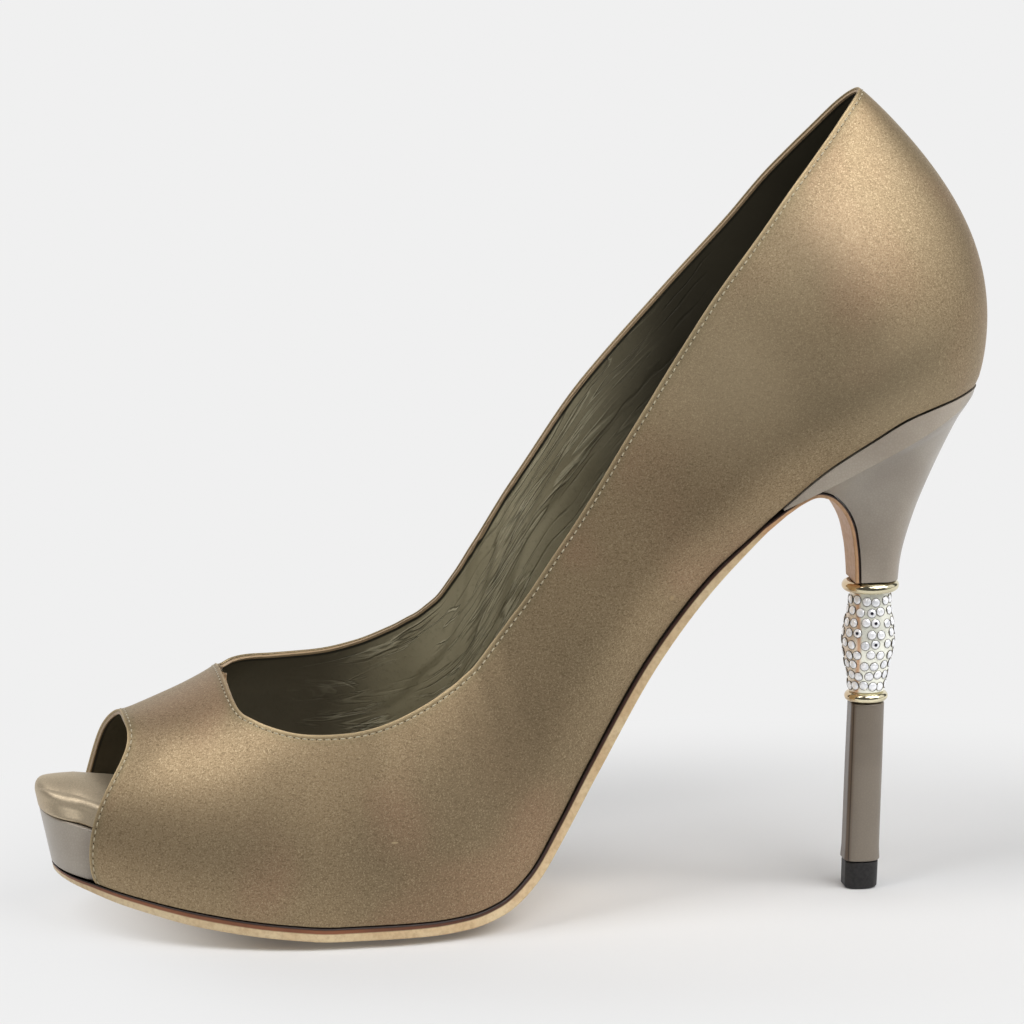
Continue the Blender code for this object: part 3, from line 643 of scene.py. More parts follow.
def satin(name, stitched=True, pale=0.0):
    """Duchess satin: light and dark thread under a broad soft sheen, drawn in along a stitched edge, with
    patches of painted highlight and painted shade, and pale flecks that are partly painted glints of single
    threads.
    """
    material, place, vary = finish(
        name, 0.50, 0.75, Sheen_Weight=0.08, Sheen_Roughness=0.4, Sheen_Tint=colour(226, 214, 190),
        Specular_IOR_Level=0.5)
    fleck = place.noise(3300.0, 2.0, 0.7, 0.8, (1.0, 1.0, 0.8), (0.0, 0.5, 0.0))
    thread = place.noise(2300.0, 2.0, 0.7, 0.6, (0.7, 1.0, 1.2), (0.0, -0.6, 0.0))
    cloud = place.noise(16.0, 2.0, 0.5)
    warm = place.noise(24.0, 2.0, 0.5, 0.3)
    tone = cloud.between(0.35, 0.65).mix(colour(157, 136, 106), colour(147, 129, 101))
    tone = (warm.between(0.48, 0.66) * 0.6).mix(tone, colour(163, 131, 105))
    # Pale flecks: light thread, and partly painted glints of single threads.
    tone = (fleck.between(0.48, 0.70) * 0.50).mix(tone, colour(212, 192, 156))
    tone = (thread.between(0.48, 0.68) * 0.50).mix(tone, colour(104, 86, 62))
    if pale:
        faded = colour(236, 222, 196)
        tone = tone.node("ShaderNodeMix", {"data_type": "RGBA"}, 2, Factor=pale, i6=tone, i7=faded)
    # Patches of painted highlight and painted shade over the satin's colour.
    for middle, reach, strength, lighter in PAINTED_SATIN_LIGHT:
        patch = place.spot(middle, 0.0, reach) * strength
        tone = patch.mix(tone, colour(212, 194, 160) if lighter else colour(74, 60, 46))
    pull = place.spot(SATIN_PULL, 0.0002, 0.0009)
    snag = place.spot(SATIN_SNAG[0], 0.0005, 0.0010, SATIN_SNAG[1])
    tone = (pull * 0.45).mix(tone, colour(196, 170, 128))
    tone = (snag * 0.55).mix(tone, colour(214, 192, 150))
    relief = fleck * 0.6 + thread * 0.7 + pull * 3.0
    if stitched:
        seam = place.mark("seam")
        relief = relief - seam.hill(0.0010, 0.0005) * 1.2
        tone = (seam.between(0.0012, 0.0030, 1.0, 0.0) * 0.35).mix(tone, colour(138, 126, 96))
        tone = (seam.between(0.0001, 0.0005, 1.0, 0.0) * 0.55).mix(tone, colour(206, 182, 142))
    vary(relief, 0.00006, 0.5, Base_Color=tone, Roughness=fleck.between(0.3, 0.8, 0.54, 0.44))
    return material


def sock_leather():
    """Soft olive-grey leather, a little darker than the lining."""
    material, place, vary = finish("sock leather", 0.45, Coat_Weight=0.12, Coat_Roughness=0.35)
    grain = place.noise(800.0, 4.0, 0.6)
    cloud = place.noise(40.0, 3.0, 0.55)
    tone = cloud.between(0.3, 0.7).mix(colour(112, 107, 86), colour(94, 89, 70))
    tone = (grain.between(0.5, 0.8) * 0.35).mix(tone, colour(70, 66, 52))
    vary(grain, 0.00008, 0.6, Base_Color=tone, Roughness=grain.between(0.3, 0.7, 0.40, 0.55))
    return material


def nose_drop(along, tip):
    """How far the insole's top comes down where its nose is rounded."""
    share = 1.0 - min((along - tip) * LENGTH / INSOLE_NOSE, 1.0)
    return INSOLE_NOSE * (1.0 - math.sqrt(max(1.0 - share * share, 0.0)))


def insole_mesh():
    """The foot bed: blunt, crowned and rounded over at its nose."""
    inset = UPPER_WALL + WELT + FIT + INSOLE_EASE
    tip = TOE_TIP + INSOLE_TIP

    def top(along):
        height = bed_height(along) + FIT + INSOLE * INSOLE_SHARE(along) - nose_drop(along, tip)
        crown = INSOLE_CROWN * ramp(along, SOCK_START + CROWN_FADE, SOCK_START)
        return height, bed_lift(along), crown * min((along - tip) * LENGTH / CROWN_RISE, 1.0) ** 0.5

    reach = SEAT_END - INSOLE_BACK - SEAT_START
    stations = toe_stations(tip, TOE_END, TOE_STEPS) + spread(TOE_END, SEAT_START, BED_STEPS)
    for i in range(1, SEAT_STEPS + 1):
        stations.append(SEAT_START + reach * math.sin(0.5 * math.pi * i / SEAT_STEPS) * SEAT_CLOSE)
    loops, rims, alongs = layer_loops(
        stations, (inset, inset + INSOLE_EASE), tip,
        lambda a: (bed_height(a) + FIT, bed_lift(a)), top, INSOLE_CORNERS,
        lambda a: [1.0 + INSOLE_BLUNT * ramp(a, INSOLE_BLUNT_START, tip)] * 2)
    return loop_mesh("insole", loops, {"rim": rims, "station": alongs})


insole = insole_mesh()
dress(insole, satin("toe satin", False, 0.42), "insole")
insole.data.materials.append(sock_leather())
for face in insole.data.polygons:
    if face.center.x > LENGTH * SOCK_START:
        face.material_index = 1

# Upper.  Satin over a leather lining, lasted in one piece over the vamp and round the counter.  The satin
# is turned over the collar and the peep edge and stitched down; the wall skirts the platform to the sole.
UPPER_HEIGHT = 0.0747
PEEP_BULGE_OUTER = 0.0038
PEEP_BULGE_INNER = 0.0026
COUNTER_BULGE = 0.0126
VAMP_START = -0.277
SWELL_SHARE = 0.30
THROAT = -0.132
THROAT_END = -0.023
PEEP_REACH = 0.134
PEEP_HIGH = 0.75
PEEP_SPREAD_OUTER = 0.0023
PEEP_SPREAD_INNER = 0.0013
PEEP_CROWN = 4.0
COUNTER_START = 0.27
COUNTER_ROUND = 0.85
SATIN_SKIN = 0.0006
RIM_WALL = 0.0012
SKIVED_SHARE = 0.80
SKIVED_COLUMNS = 10
SOCK_TUCK = 0.0005
TUCK_GROWTH = 0.03
TUCK_LEAST = 0.003
TUCK_MOST = 1.5
RIM_STEPS = 8
RIM_ROUND = 0.35
UPPER_ROWS = 62
VAMP_STEPS = 44
THROAT_STEPS = 64
SIDE_STEPS = 120
COUNTER_STEPS = 40
# Sections of the last above the bottom line: reach is a share of UPPER_HEIGHT, cut is where the collar
# crosses it, swell and ridge are shares of BALL_WIDTH, bend is its squareness.
SECTIONS = (
    # along, tilt, reach, cut outer, cut inner, swell outer, swell inner, bend outer, bend inner, ridge
    (-0.277, -12.6, 0.497, 1.800, 1.800, 0.007, 0.007, 2.50, 2.50, 0.013),
    (-0.225, -7.2, 0.562, 1.500, 1.500, 0.008, 0.008, 2.35, 2.50, 0.026),
    (-0.171, -1.8, 0.628, 1.300, 1.200, 0.010, 0.010, 2.15, 2.50, 0.040),
    (-0.132, 1.2, 0.687, 1.010, 1.000, 0.012, 0.012, 2.10, 2.50, 0.050),
    (-0.118, 2.7, 0.712, 0.882, 0.948, 0.012, 0.012, 2.10, 2.50, 0.053),
    (-0.095, 4.9, 0.748, 0.808, 0.912, 0.013, 0.013, 2.10, 2.50, 0.057),
    (-0.072, 6.1, 0.791, 0.758, 0.875, 0.013, 0.013, 2.10, 2.50, 0.060),
    (-0.050, 6.5, 0.826, 0.717, 0.837, 0.014, 0.013, 2.12, 2.50, 0.062),
    (-0.023, 6.2, 0.873, 0.671, 0.780, 0.015, 0.013, 2.15, 2.50, 0.063),
    (0.023, 6.9, 0.941, 0.642, 0.730, 0.018, 0.013, 2.20, 2.50, 0.062),
    (0.076, 8.9, 1.036, 0.636, 0.717, 0.024, 0.014, 2.25, 2.50, 0.058),
    (0.149, 13.9, 1.114, 0.635, 0.712, 0.042, 0.022, 2.35, 2.50, 0.048),
    (0.198, 18.5, 1.024, 0.622, 0.715, 0.066, 0.042, 2.45, 2.50, 0.040),
    (0.253, 29.4, 0.863, 0.585, 0.720, 0.086, 0.060, 2.50, 2.50, 0.030),
    (0.316, 38.6, 0.787, 0.580, 0.725, 0.090, 0.066, 2.55, 2.55, 0.022),
    (0.379, 37.6, 0.810, 0.633, 0.753, 0.085, 0.070, 2.60, 2.60, 0.015),
    (0.437, 34.9, 0.832, 0.700, 0.761, 0.075, 0.070, 2.60, 2.60, 0.010),
    (0.495, 30.6, 0.842, 0.800, 0.800, 0.064, 0.062, 2.60, 2.60, 0.005),
    (0.550, 27.2, 0.867, 0.875, 0.875, 0.055, 0.055, 2.60, 2.60, 0.000),
    (0.603, 24.5, 0.929, 0.940, 0.940, 0.048, 0.048, 2.60, 2.60, 0.000),
    (0.655, 22.0, 1.047, 0.955, 0.955, 0.046, 0.046, 2.60, 2.60, 0.000),
    (0.680, 20.8, 1.104, 0.955, 0.955, 0.046, 0.046, 2.60, 2.60, 0.000),
)
# Smoothing of the curves: step of the average at the throat and further back, and the weight of each step.
CURVE_EASE = (0.009, 0.024)
EASE_BACK = 0.12
EASE_WEIGHTS = ((-2, 0.06), (-1, 0.24), (0, 0.40), (1, 0.24), (2, 0.06))
# Reach of the collar's average, as a share of the way behind the throat and at most.
CUT_EASE = (0.42, 0.050)
CUT_STEPS = 15
CUT_FALL = 0.9
THROAT_TURN = 0.030
THROAT_DROP = 0.030
JOINT_REACH = 0.005
CLOSED_CUT = 0.9999


def eased(curve):
    """The same curve with its kinks averaged out, over a longer way behind the throat."""
    def at(along):
        reach = CURVE_EASE[0] + (CURVE_EASE[1] - CURVE_EASE[0]) * ramp(along, THROAT, THROAT + EASE_BACK)
        return sum(curve(along + reach * step) * weight for step, weight in EASE_WEIGHTS)
    return at


def eased_cut(curve):
    """The collar's cut: 1 at the throat, rounded open behind it, and averaged over a longer way there."""
    over = curve(THROAT) - 1.0

    def level(along):
        if along <= THROAT:
            return max(curve(along), 1.0)
        share = ramp(along, THROAT, THROAT + THROAT_TURN)
        return min(curve(along) - over * (1.0 - share) - THROAT_DROP * math.sin(math.pi * share ** 0.5), 1.0)

    def at(along):
        reach = min(CUT_EASE[0] * max(along - THROAT, 0.0), CUT_EASE[1])
        steps = np.linspace(-1.0, 1.0, CUT_STEPS)
        values = [level(along + reach * step) for step in steps]
        return float(np.average(values, weights=1.0 - CUT_FALL * np.abs(steps)))
    return at


TILT, REACH, *SIDED, RIDGE = [eased(curve) for curve in table_curves(SECTIONS)]
CUT_OUTER, CUT_INNER, SWELL_OUTER, SWELL_INNER, BEND_OUTER, BEND_INNER = SIDED
CUT = {-1: eased_cut(CUT_OUTER), 1: eased_cut(CUT_INNER)}
SWELL = {-1: SWELL_OUTER, 1: SWELL_INNER}
BEND = {-1: BEND_OUTER, 1: BEND_INNER}


def upper_column(along, side, shares):
    """Points of the upper's outer face up one section: shares run from the sole, 0, to the collar, 1."""
    tilt = math.radians(TILT(along))
    crown = np.array([-math.sin(tilt), 0.0, math.cos(tilt)]) * REACH(along) * UPPER_HEIGHT
    height = min(CUT[side](along), 1.0) * shares
    lift = sole_lift(along) * (1.0 - shares) ** 2
    points = feather_point(along) + np.outer(FIT + lift, up_vector(along)) + np.outer(height, crown)
    bow = PEEP_BULGE_OUTER if side < 0 else PEEP_BULGE_INNER
    part = PEEP_SPREAD_OUTER if side < 0 else -PEEP_SPREAD_INNER
    front = max(1.0 - (along - VAMP_START) / PEEP_REACH, 0.0) ** 2
    back = max((along - COUNTER_START) / (SEAT_END - COUNTER_START), 0.0) ** 2
    points[:, 0] -= bow * front * np.sin(math.pi * shares ** PEEP_HIGH)
    points[:, 0] += part * front * np.sin(math.pi * shares ** PEEP_CROWN)
    points[:, 0] += COUNTER_BULGE * back * np.abs(np.sin(math.pi * shares)) ** COUNTER_ROUND
    base = half_width(along, side, WELT)
    full = base + SWELL[side](along) * BALL_WIDTH * seat_closing(along)
    bend = BEND[side](along)
    shape = np.maximum(1.0 - height ** bend, 0.0) ** (1.0 / bend)
    flare = (full - base) * np.maximum(1.0 - height / SWELL_SHARE, 0.0) ** 2
    ridge = RIDGE(along) * BALL_WIDTH
    outward = shape * (full - side * ridge) - flare
    points[:, 1] = swing(along) + ridge + side * outward
    return points


def upper_stations():
    """Stations of the columns, closest together just behind the throat."""
    stations = [VAMP_START] + spread(VAMP_START, THROAT, VAMP_STEPS)
    for i in range(1, THROAT_STEPS + 1):
        stations.append(THROAT + (THROAT_END - THROAT) * (i / THROAT_STEPS) ** 2)
    stations += spread(THROAT_END, SEAT_START, SIDE_STEPS)
    for i in range(1, COUNTER_STEPS + 1):
        share = math.sin(0.5 * math.pi * i / COUNTER_STEPS) ** (2.0 / SEAT_ROUND)
        stations.append(SEAT_START + (SEAT_END - SEAT_START) * share)
    return stations


def row_shares():
    """Heights of the rows as shares of a column, closest together at the collar."""
    return np.sin(0.5 * math.pi * np.arange(UPPER_ROWS + 1) / UPPER_ROWS)


def throat_ways(stations, collar, closed):
    """Ways out along the top row: those of the sides' joint over the closed vamp, then their own."""
    last = int(np.nonzero(~closed)[0][0]) - 3
    count = len(stations)
    ways = []
    for i, along in enumerate(stations):
        share = 1.0 if closed[i] else 1.0 - ramp(along, THROAT, THROAT + JOINT_REACH)
        place = min(i, last) if i < count // 2 else max(i, count - 1 - last)
        joint = collar[place] + collar[count - 1 - place]
        joint[1] = 0.0
        way = collar[i] * (1.0 - share) + joint / np.linalg.norm(joint) * share
        ways.append(way / np.linalg.norm(way))
    return np.array(ways)


def last_surface():
    """The outer face as a sheet of columns, its ways out, and which of its columns close over the vamp.

    The columns run from the outer side's toe back, round the heel and on to the inner side's toe.
    """
    shares = row_shares()
    stations = upper_stations()
    outer = [upper_column(along, -1, shares) for along in stations]
    inner = [upper_column(along, 1, shares) for along in stations[-2::-1]]
    sheet = np.array(outer + inner)
    ways = np.cross(np.gradient(sheet, axis=0), np.gradient(sheet, axis=1))
    ways /= np.linalg.norm(ways, axis=2)[:, :, None]
    cuts = [CUT[-1](along) for along in stations] + [CUT[1](along) for along in stations[-2::-1]]
    closed = np.array(cuts) > CLOSED_CUT
    ways[:, -1] = throat_ways(stations + stations[-2::-1], ways[:, -1].copy(), closed)
    return sheet, ways, closed


SHEET, WAYS, CLOSED = last_surface()


def rim_points(column, out, start, end, turned):
    """Points over the collar's rim from depth start to depth end of the wall, rounded when turned."""
    top = column[-1]
    climb = top - column[-2]
    climb -= out * np.dot(climb, out)
    climb /= np.linalg.norm(climb)
    points = []
    for i in range(1, RIM_STEPS):
        angle = math.pi * i / RIM_STEPS
        depth = 0.5 * (start + end) - 0.5 * (end - start) * math.cos(angle)
        rise = RIM_ROUND * (end - start) * math.sin(angle) if turned else 0.0
        points.append(top - out * depth + climb * rise)
    return points


def climbs(column):
    """How far up a column each of its points lies."""
    return np.concatenate([[0.0], np.cumsum(np.linalg.norm(np.diff(column, axis=0), axis=1))])


def skin_faces(columns, rows, count):
    """Faces of a skin whose columns are loops of count points, with no rim where the vamp is closed."""
    faces = []
    for i in range(columns - 1):
        for j in range(count):
            if CLOSED[i] and CLOSED[i + 1] and rows - 1 <= j < rows - 1 + RIM_STEPS:
                continue
            k = (j + 1) % count
            faces.append((i * count + j, i * count + k, (i + 1) * count + k, (i + 1) * count + j))
    for i in (0, columns - 1):
        first = i * count
        last = first + count - 1
        faces += [(first + j, first + j + 1, last - 1 - j, last - j) for j in range(rows - 1)]
    return faces


def skin_mesh(name, start, end, turned, more=0.0):
    """One skin of the upper from depth start to depth end of its wall, and more below its rim."""
    columns, rows = SHEET.shape[:2]
    depths = np.zeros((columns, rows)) + end + more
    points = []
    for i in range(columns):
        front = list(SHEET[i] - WAYS[i] * start)
        back = list(SHEET[i] - WAYS[i] * depths[i][:, None])
        if CLOSED[i]:
            rim = [front[-1] + (back[-1] - front[-1]) * k / RIM_STEPS for k in range(1, RIM_STEPS)]
        else:
            rim = rim_points(SHEET[i], WAYS[i, -1], start, end, turned)
        points.append(front + rim + back[::-1])
    count = len(points[0])
    flat = np.array(points).reshape(-1, 3)
    tree = edge_tree()
    climb = climbs(SHEET[columns // 4])
    rises = np.concatenate([climb, np.full(count - 2 * rows, climb[-1]), climb[::-1]])
    marks = {
        "seam": [tree.find(Vector(p))[2] for p in flat],
        "rise": np.tile(rises, columns),
        "run": flat[:, 0]}
    return mesh_piece(name, flat, skin_faces(columns, rows, count), marks)


def edge_lines():
    """The collar and the peep edge as two lines of (point, way out) along the outer face."""
    opened = [i for i in range(len(SHEET)) if not CLOSED[i]]
    collar = [(SHEET[i, -1], WAYS[i, -1]) for i in [opened[0] - 1] + opened + [opened[-1] + 1]]
    peep = [(SHEET[0, j], WAYS[0, j]) for j in range(SHEET.shape[1])]
    peep += [(SHEET[-1, j], WAYS[-1, j]) for j in range(SHEET.shape[1] - 2, -1, -1)]
    return collar, peep


def edge_tree():
    """A search tree of points along the collar and the peep edge."""
    points = []
    for line in edge_lines():
        for (a, _), (b, _) in zip(line, line[1:]):
            for u in (0.0, 0.25, 0.5, 0.75):
                points.append(a + (b - a) * u)
    tree = KDTree(len(points))
    for i, point in enumerate(points):
        tree.insert(Vector(point), i)
    tree.balance()
    return tree


def lining_leather():
    """Soft olive-grey leather, finely creased where it bends, with a pale edge under the satin; painted
    shade darkens it towards the heel and the toe inside the shoe, and its creases carry painted shade in
    their troughs and painted highlights on their crests.
    """
    material, place, vary = finish("lining leather", 0.42, Coat_Weight=0.10, Coat_Roughness=0.35)
    grain = place.noise(900.0, 4.0, 0.62)
    cloud = place.noise(38.0, 3.0, 0.55)
    run = place.mark("run")
    rise = place.mark("rise")
    sheet = place.node("ShaderNodeCombineXYZ", None, 0, X=run, Y=rise * 2.2)
    waver = sheet.noise(26.0, 3.0, 0.6)
    lines = rise * 300.0 + waver * 5.0
    shown = sheet.noise(70.0, 2.0, 0.5).between(0.46, 0.60)
    zone = run.between(0.010, 0.026) * run.between(0.110, 0.085)
    crease = lines.math("FRACT", lines).hill(0.5, 0.13) * shown * zone
    tone = cloud.between(0.3, 0.7).mix(colour(186, 176, 145), colour(160, 150, 121))
    # Painted shade inside the shoe: the lining darkens towards the heel and towards the toe.
    tone = (run.between(0.040, 0.080) * 0.96).mix(tone, colour(62, 58, 48))
    tone = (run.between(0.022, -0.004) * 0.85).mix(tone, colour(58, 51, 41))
    # Dark crease lines: painted shade in the fine creases.
    tone = (crease * 0.35).mix(tone, colour(52, 48, 37))
    bent = run.between(-0.016, 0.020) * run.between(0.078, 0.052)
    crest = valley = 0.0
    for scale, slant in ((78.0, 0.25), (128.0, 0.32)):
        fold = sheet.noise(scale, 3.0, 0.55, 0.7, (0.34, 1.0, 1.0), (0.0, 0.0, slant))
        patch = sheet.noise(scale * 0.35, 2.0, 0.5).between(0.42, 0.58) * bent
        crest = fold.hill(0.535, 0.024) * patch + crest
        valley = fold.hill(0.500, 0.020) * patch + valley
    # Painted highlights on the folds' crests and painted shade in their valleys.
    tone = (crest * 0.42).mix(tone, colour(226, 218, 186))
    tone = (valley * 0.42).mix(tone, colour(58, 54, 42))
    seam = place.mark("seam")
    tone = seam.between(0.0019, 0.0016).mix(tone, colour(46, 44, 36))
    tone = seam.between(0.0014, 0.0013).mix(tone, colour(176, 150, 118))
    tone = (grain.between(0.5, 0.8) * 0.3).mix(tone, colour(72, 68, 54))
    relief = grain * 0.4 - crease * 1.2 + crest * 1.4 - valley * 1.4
    vary(relief, 0.00012, 0.7, Base_Color=tone, Roughness=grain.between(0.3, 0.7, 0.36, 0.5))
    return material


# Creases of the lining on the inner side, where the wearer's instep bent it: soft troughs.
CREASE_WIDTH = 0.0011
CREASE_HEIGHT = 0.055
CREASE_LIP = 1.6
CREASE_WANDER = 0.0006
CREASE_WAVE = 0.0042
LINING_CREASES = (
    # along from, height from as a share of CREASE_HEIGHT, along to, height to, depth
    (0.150, 0.62, 0.300, 0.80, 0.00035),
    (0.170, 0.52, 0.330, 0.66, 0.00030),
    (0.120, 0.74, 0.240, 0.90, 0.00025),
    (0.210, 0.84, 0.350, 0.92, 0.00030),
    (0.250, 0.56, 0.400, 0.60, 0.00025),
    (0.060, 0.60, 0.150, 0.80, 0.00020),
    (0.030, 0.45, 0.120, 0.50, 0.00020),
)


def lining_troughs():
    """Depth of the creases at every point of the sheet, on the inner side of the foot."""
    columns, rows = SHEET.shape[:2]
    depth = np.zeros((columns, rows))
    for start, low, end, high, deep in LINING_CREASES:
        first = np.array([LENGTH * start, low * CREASE_HEIGHT])
        way = np.array([LENGTH * (end - start), (high - low) * CREASE_HEIGHT])
        long = np.linalg.norm(way)
        way /= long
        for i in range(columns // 2, columns):
            gap = np.stack([np.full(rows, SHEET[i, 0, 0]), climbs(SHEET[i])], axis=1) - first
            along = gap @ way
            off = gap @ np.array([-way[1], way[0]])
            off += CREASE_WANDER * np.sin(along / CREASE_WAVE + start * 90.0)
            fade = np.clip(np.minimum(along, long - along) / (0.25 * long), 0.0, 1.0)
            lip = np.exp(-((off - CREASE_LIP * CREASE_WIDTH) / CREASE_WIDTH) ** 2)
            depth[i] += deep * fade * (np.exp(-(off / CREASE_WIDTH) ** 2) - 0.5 * lip)
    return depth


def skiving():
    """How much thicker than its skived rim the wall is, at every point of the sheet."""
    columns = len(SHEET)
    down = [1.0 - ramp(share, SKIVED_SHARE, 1.0) for share in row_shares()]
    back = [ramp(min(i, columns - 1 - i), 0, SKIVED_COLUMNS) for i in range(columns)]
    return (UPPER_WALL - RIM_WALL) * np.outer(back, down)


def search_tree(piece):
    """A search tree of a piece's faces."""
    mesh = piece.data
    return BVHTree.FromPolygons([v.co for v in mesh.vertices], [tuple(f.vertices) for f in mesh.polygons])


def meet_lining(piece, lining):
    """Widen the insole behind the peep hole until its edges tuck into the lining."""
    tree = search_tree(lining)
    mesh = piece.data
    places = np.array([v.co for v in mesh.vertices])
    stations = np.array([mark.value for mark in mesh.attributes["station"].data])
    for station in np.unique(stations):
        grown = ramp(station, SOCK_START - TUCK_GROWTH, SOCK_START)
        for side in (-1, 1):
            part = np.nonzero((stations == station) & (places[:, 1] * side > 0.0))[0]
            if grown == 0.0 or len(part) == 0:
                continue
            edge = places[part[np.argmax(places[part, 1] * side)]]
            if abs(edge[1]) < TUCK_LEAST:
                continue
            hit = tree.ray_cast(Vector((edge[0], 0.0, edge[2])), Vector((0.0, side, 0.0)))[0]
            if hit is not None:
                share = (abs(hit.y) + SOCK_TUCK) / abs(edge[1])
                places[part, 1] *= 1.0 + (min(max(share, 1.0), TUCK_MOST) - 1.0) * grown
    mesh.vertices.foreach_set("co", places.astype(np.float32).ravel())
    mesh.update()


upper_satin = skin_mesh("upper_satin", 0.0, SATIN_SKIN, True)
dress(upper_satin, satin("upper satin"), "upper")
upper_lining = skin_mesh("upper_lining", SATIN_SKIN, RIM_WALL, False, skiving() - lining_troughs())
upper_lining.data.materials.append(lining_leather())
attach(upper_lining, "root")
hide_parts("upper")
meet_lining(insole, upper_lining)

# Stitching.  One row of pale thread holds down the turned edge of the collar and of the peep hole.  It shows
# on the satin as short stitches, each drawn into the dark needle pricks at its ends.
STITCH_PITCH = 0.00172
STITCH_SIZE = (0.00115, 0.00034, 0.00022)
PRICK_SIZE = (0.00036, 0.00036, 0.00010)
STITCH_EDGE = 0.0010
# Inputs of the node that trims a path by length, which share their names with two others, and its far end.
TRIM_START = 4
TRIM_END = 5
LONGEST_ROW = 10.0


def hidden(piece):
    """A piece that is only copied by a node tree, taken out of the scene."""
    bpy.context.scene.collection.objects.unlink(piece)
    return piece


def circle(sides, turn=0.0):
    """Points of a circle of radius 1."""
    angles = [2.0 * math.pi * (k + turn) / sides for k in range(sides)]
    return [(math.cos(a), math.sin(a)) for a in angles]


def bead(name, size, rings=5, sides=8):
    """A small rounded grain, long in X."""
    long, wide, tall = (0.5 * v for v in size)
    loops = []
    for i in range(1, rings):
        turn = math.pi * i / rings
        reach = math.sin(turn)
        along = -long * math.cos(turn)
        loops.append([(along, wide * reach * a, tall * reach * b) for a, b in circle(sides)])
    return hidden(loop_mesh(name, loops))


def stitch_line(line, skin, distance):
    """Points along an edge line, moved in from the edge over a skin, with the way out of the skin there."""
    tree = search_tree(skin)
    points = []
    for i, (point, way) in enumerate(line):
        ahead = line[min(i + 1, len(line) - 1)][0] - line[max(i - 1, 0)][0]
        inward = np.cross(ahead, way)
        place = tree.find_nearest(Vector(point + inward / np.linalg.norm(inward) * distance))[0]
        points.append((np.array(place), way))
    return points


def path_piece(name, points):
    """A piece of points joined in a row, each marked with its way out."""
    mesh = bpy.data.meshes.new(name)
    mesh.from_pydata([tuple(p) for p, way in points], [(i, i + 1) for i in range(len(points) - 1)], [])
    mesh.attributes.new("out", "FLOAT_VECTOR", "POINT").data.foreach_set(
        "vector", np.array([way for p, way in points], np.float32).ravel())
    piece = bpy.data.objects.new(name, mesh)
    bpy.context.scene.collection.objects.link(piece)
    return piece


def node_tree(name, **inputs):
    """A Geometry Nodes tree with these named inputs beside its geometry, and the key of each input."""
    tree = bpy.data.node_groups.new(name, "GeometryNodeTree")
    face = tree.interface
    face.new_socket("Geometry", in_out="INPUT", socket_type="NodeSocketGeometry")
    face.new_socket("Geometry", in_out="OUTPUT", socket_type="NodeSocketGeometry")
    keys = {}
    for label, kind in inputs.items():
        keys[label] = face.new_socket(label, in_out="INPUT", socket_type=f"NodeSocket{kind}").identifier
    return tree, keys


def upright_turn(tree):
    """The turn that stands a grain on its surface, from the way out that its point is marked with."""
    out = tree.nodes.new("GeometryNodeInputNamedAttribute")
    out.data_type = "FLOAT_VECTOR"
    out.inputs["Name"].default_value = "out"
    upright = tree.nodes.new("FunctionNodeAlignRotationToVector")
    upright.axis = "Z"
    tree.links.new(out.outputs["Attribute"], upright.inputs["Vector"])
    return upright.outputs["Rotation"]


def lay_grains(tree, given, points, turn):
    """End a tree: its grain on every point, turned, made real and in its finish."""
    link = tree.links.new
    piece = tree.nodes.new("GeometryNodeObjectInfo")
    place = tree.nodes.new("GeometryNodeInstanceOnPoints")
    real = tree.nodes.new("GeometryNodeRealizeInstances")
    paint = tree.nodes.new("GeometryNodeSetMaterial")
    result = tree.nodes.new("NodeGroupOutput")
    link(points, place.inputs["Points"])
    link(given.outputs["Grain"], piece.inputs["Object"])
    link(piece.outputs["Geometry"], place.inputs["Instance"])
    link(turn, place.inputs["Rotation"])
    link(place.outputs["Instances"], real.inputs["Geometry"])
    link(real.outputs["Geometry"], paint.inputs["Geometry"])
    link(given.outputs["Finish"], paint.inputs["Material"])
    link(paint.outputs["Geometry"], result.inputs["Geometry"])


def row_tree():
    """Geometry Nodes that lay one grain after another along a path, square to its surface."""
    tree, keys = node_tree("stitch row", Pitch="Float", Start="Float", Grain="Object", Finish="Material")
    add = tree.nodes.new
    link = tree.links.new
    given = add("NodeGroupInput")
    curve = add("GeometryNodeMeshToCurve")
    trim = add("GeometryNodeTrimCurve")
    trim.mode = "LENGTH"
    trim.inputs[TRIM_END].default_value = LONGEST_ROW
    resample = add("GeometryNodeResampleCurve")
    resample.mode = "LENGTH"
    tangent = add("GeometryNodeInputTangent")
    ahead = add("FunctionNodeAlignRotationToVector")
    ahead.axis = "X"
    ahead.pivot_axis = "Z"
    link(given.outputs["Geometry"], curve.inputs["Mesh"])
    link(curve.outputs["Curve"], trim.inputs["Curve"])
    link(given.outputs["Start"], trim.inputs[TRIM_START])
    link(trim.outputs["Curve"], resample.inputs["Curve"])
    link(given.outputs["Pitch"], resample.inputs["Length"])
    link(upright_turn(tree), ahead.inputs["Rotation"])
    link(tangent.outputs["Tangent"], ahead.inputs["Vector"])
    lay_grains(tree, given, resample.outputs["Curve"], ahead.outputs["Rotation"])
    return tree, keys


def bake(piece, tree, **values):
    """Run a node tree on a piece, keep its result as a plain mesh and take the modifier off."""
    modifier = piece.modifiers.new("row", "NODES")
    modifier.node_group, keys = tree
    for name, value in values.items():
        modifier[keys[name]] = value
    shown = piece.evaluated_get(bpy.context.evaluated_depsgraph_get())
    mesh = bpy.data.meshes.new_from_object(shown)
    piece.modifiers.remove(modifier)
    piece.data = mesh
    mesh.shade_smooth()


def thread_finish():
    """Twisted silk, paler than the satin."""
    material, place, vary = finish("pale thread", 0.5, Sheen_Weight=0.3)
    twist = place.noise(3600.0, 2.0, 0.5)
    tone = twist.between(0.3, 0.7).mix(colour(196, 184, 156), colour(160, 148, 120))
    vary(twist, 0.00005, 0.6, Base_Color=tone)
    return material


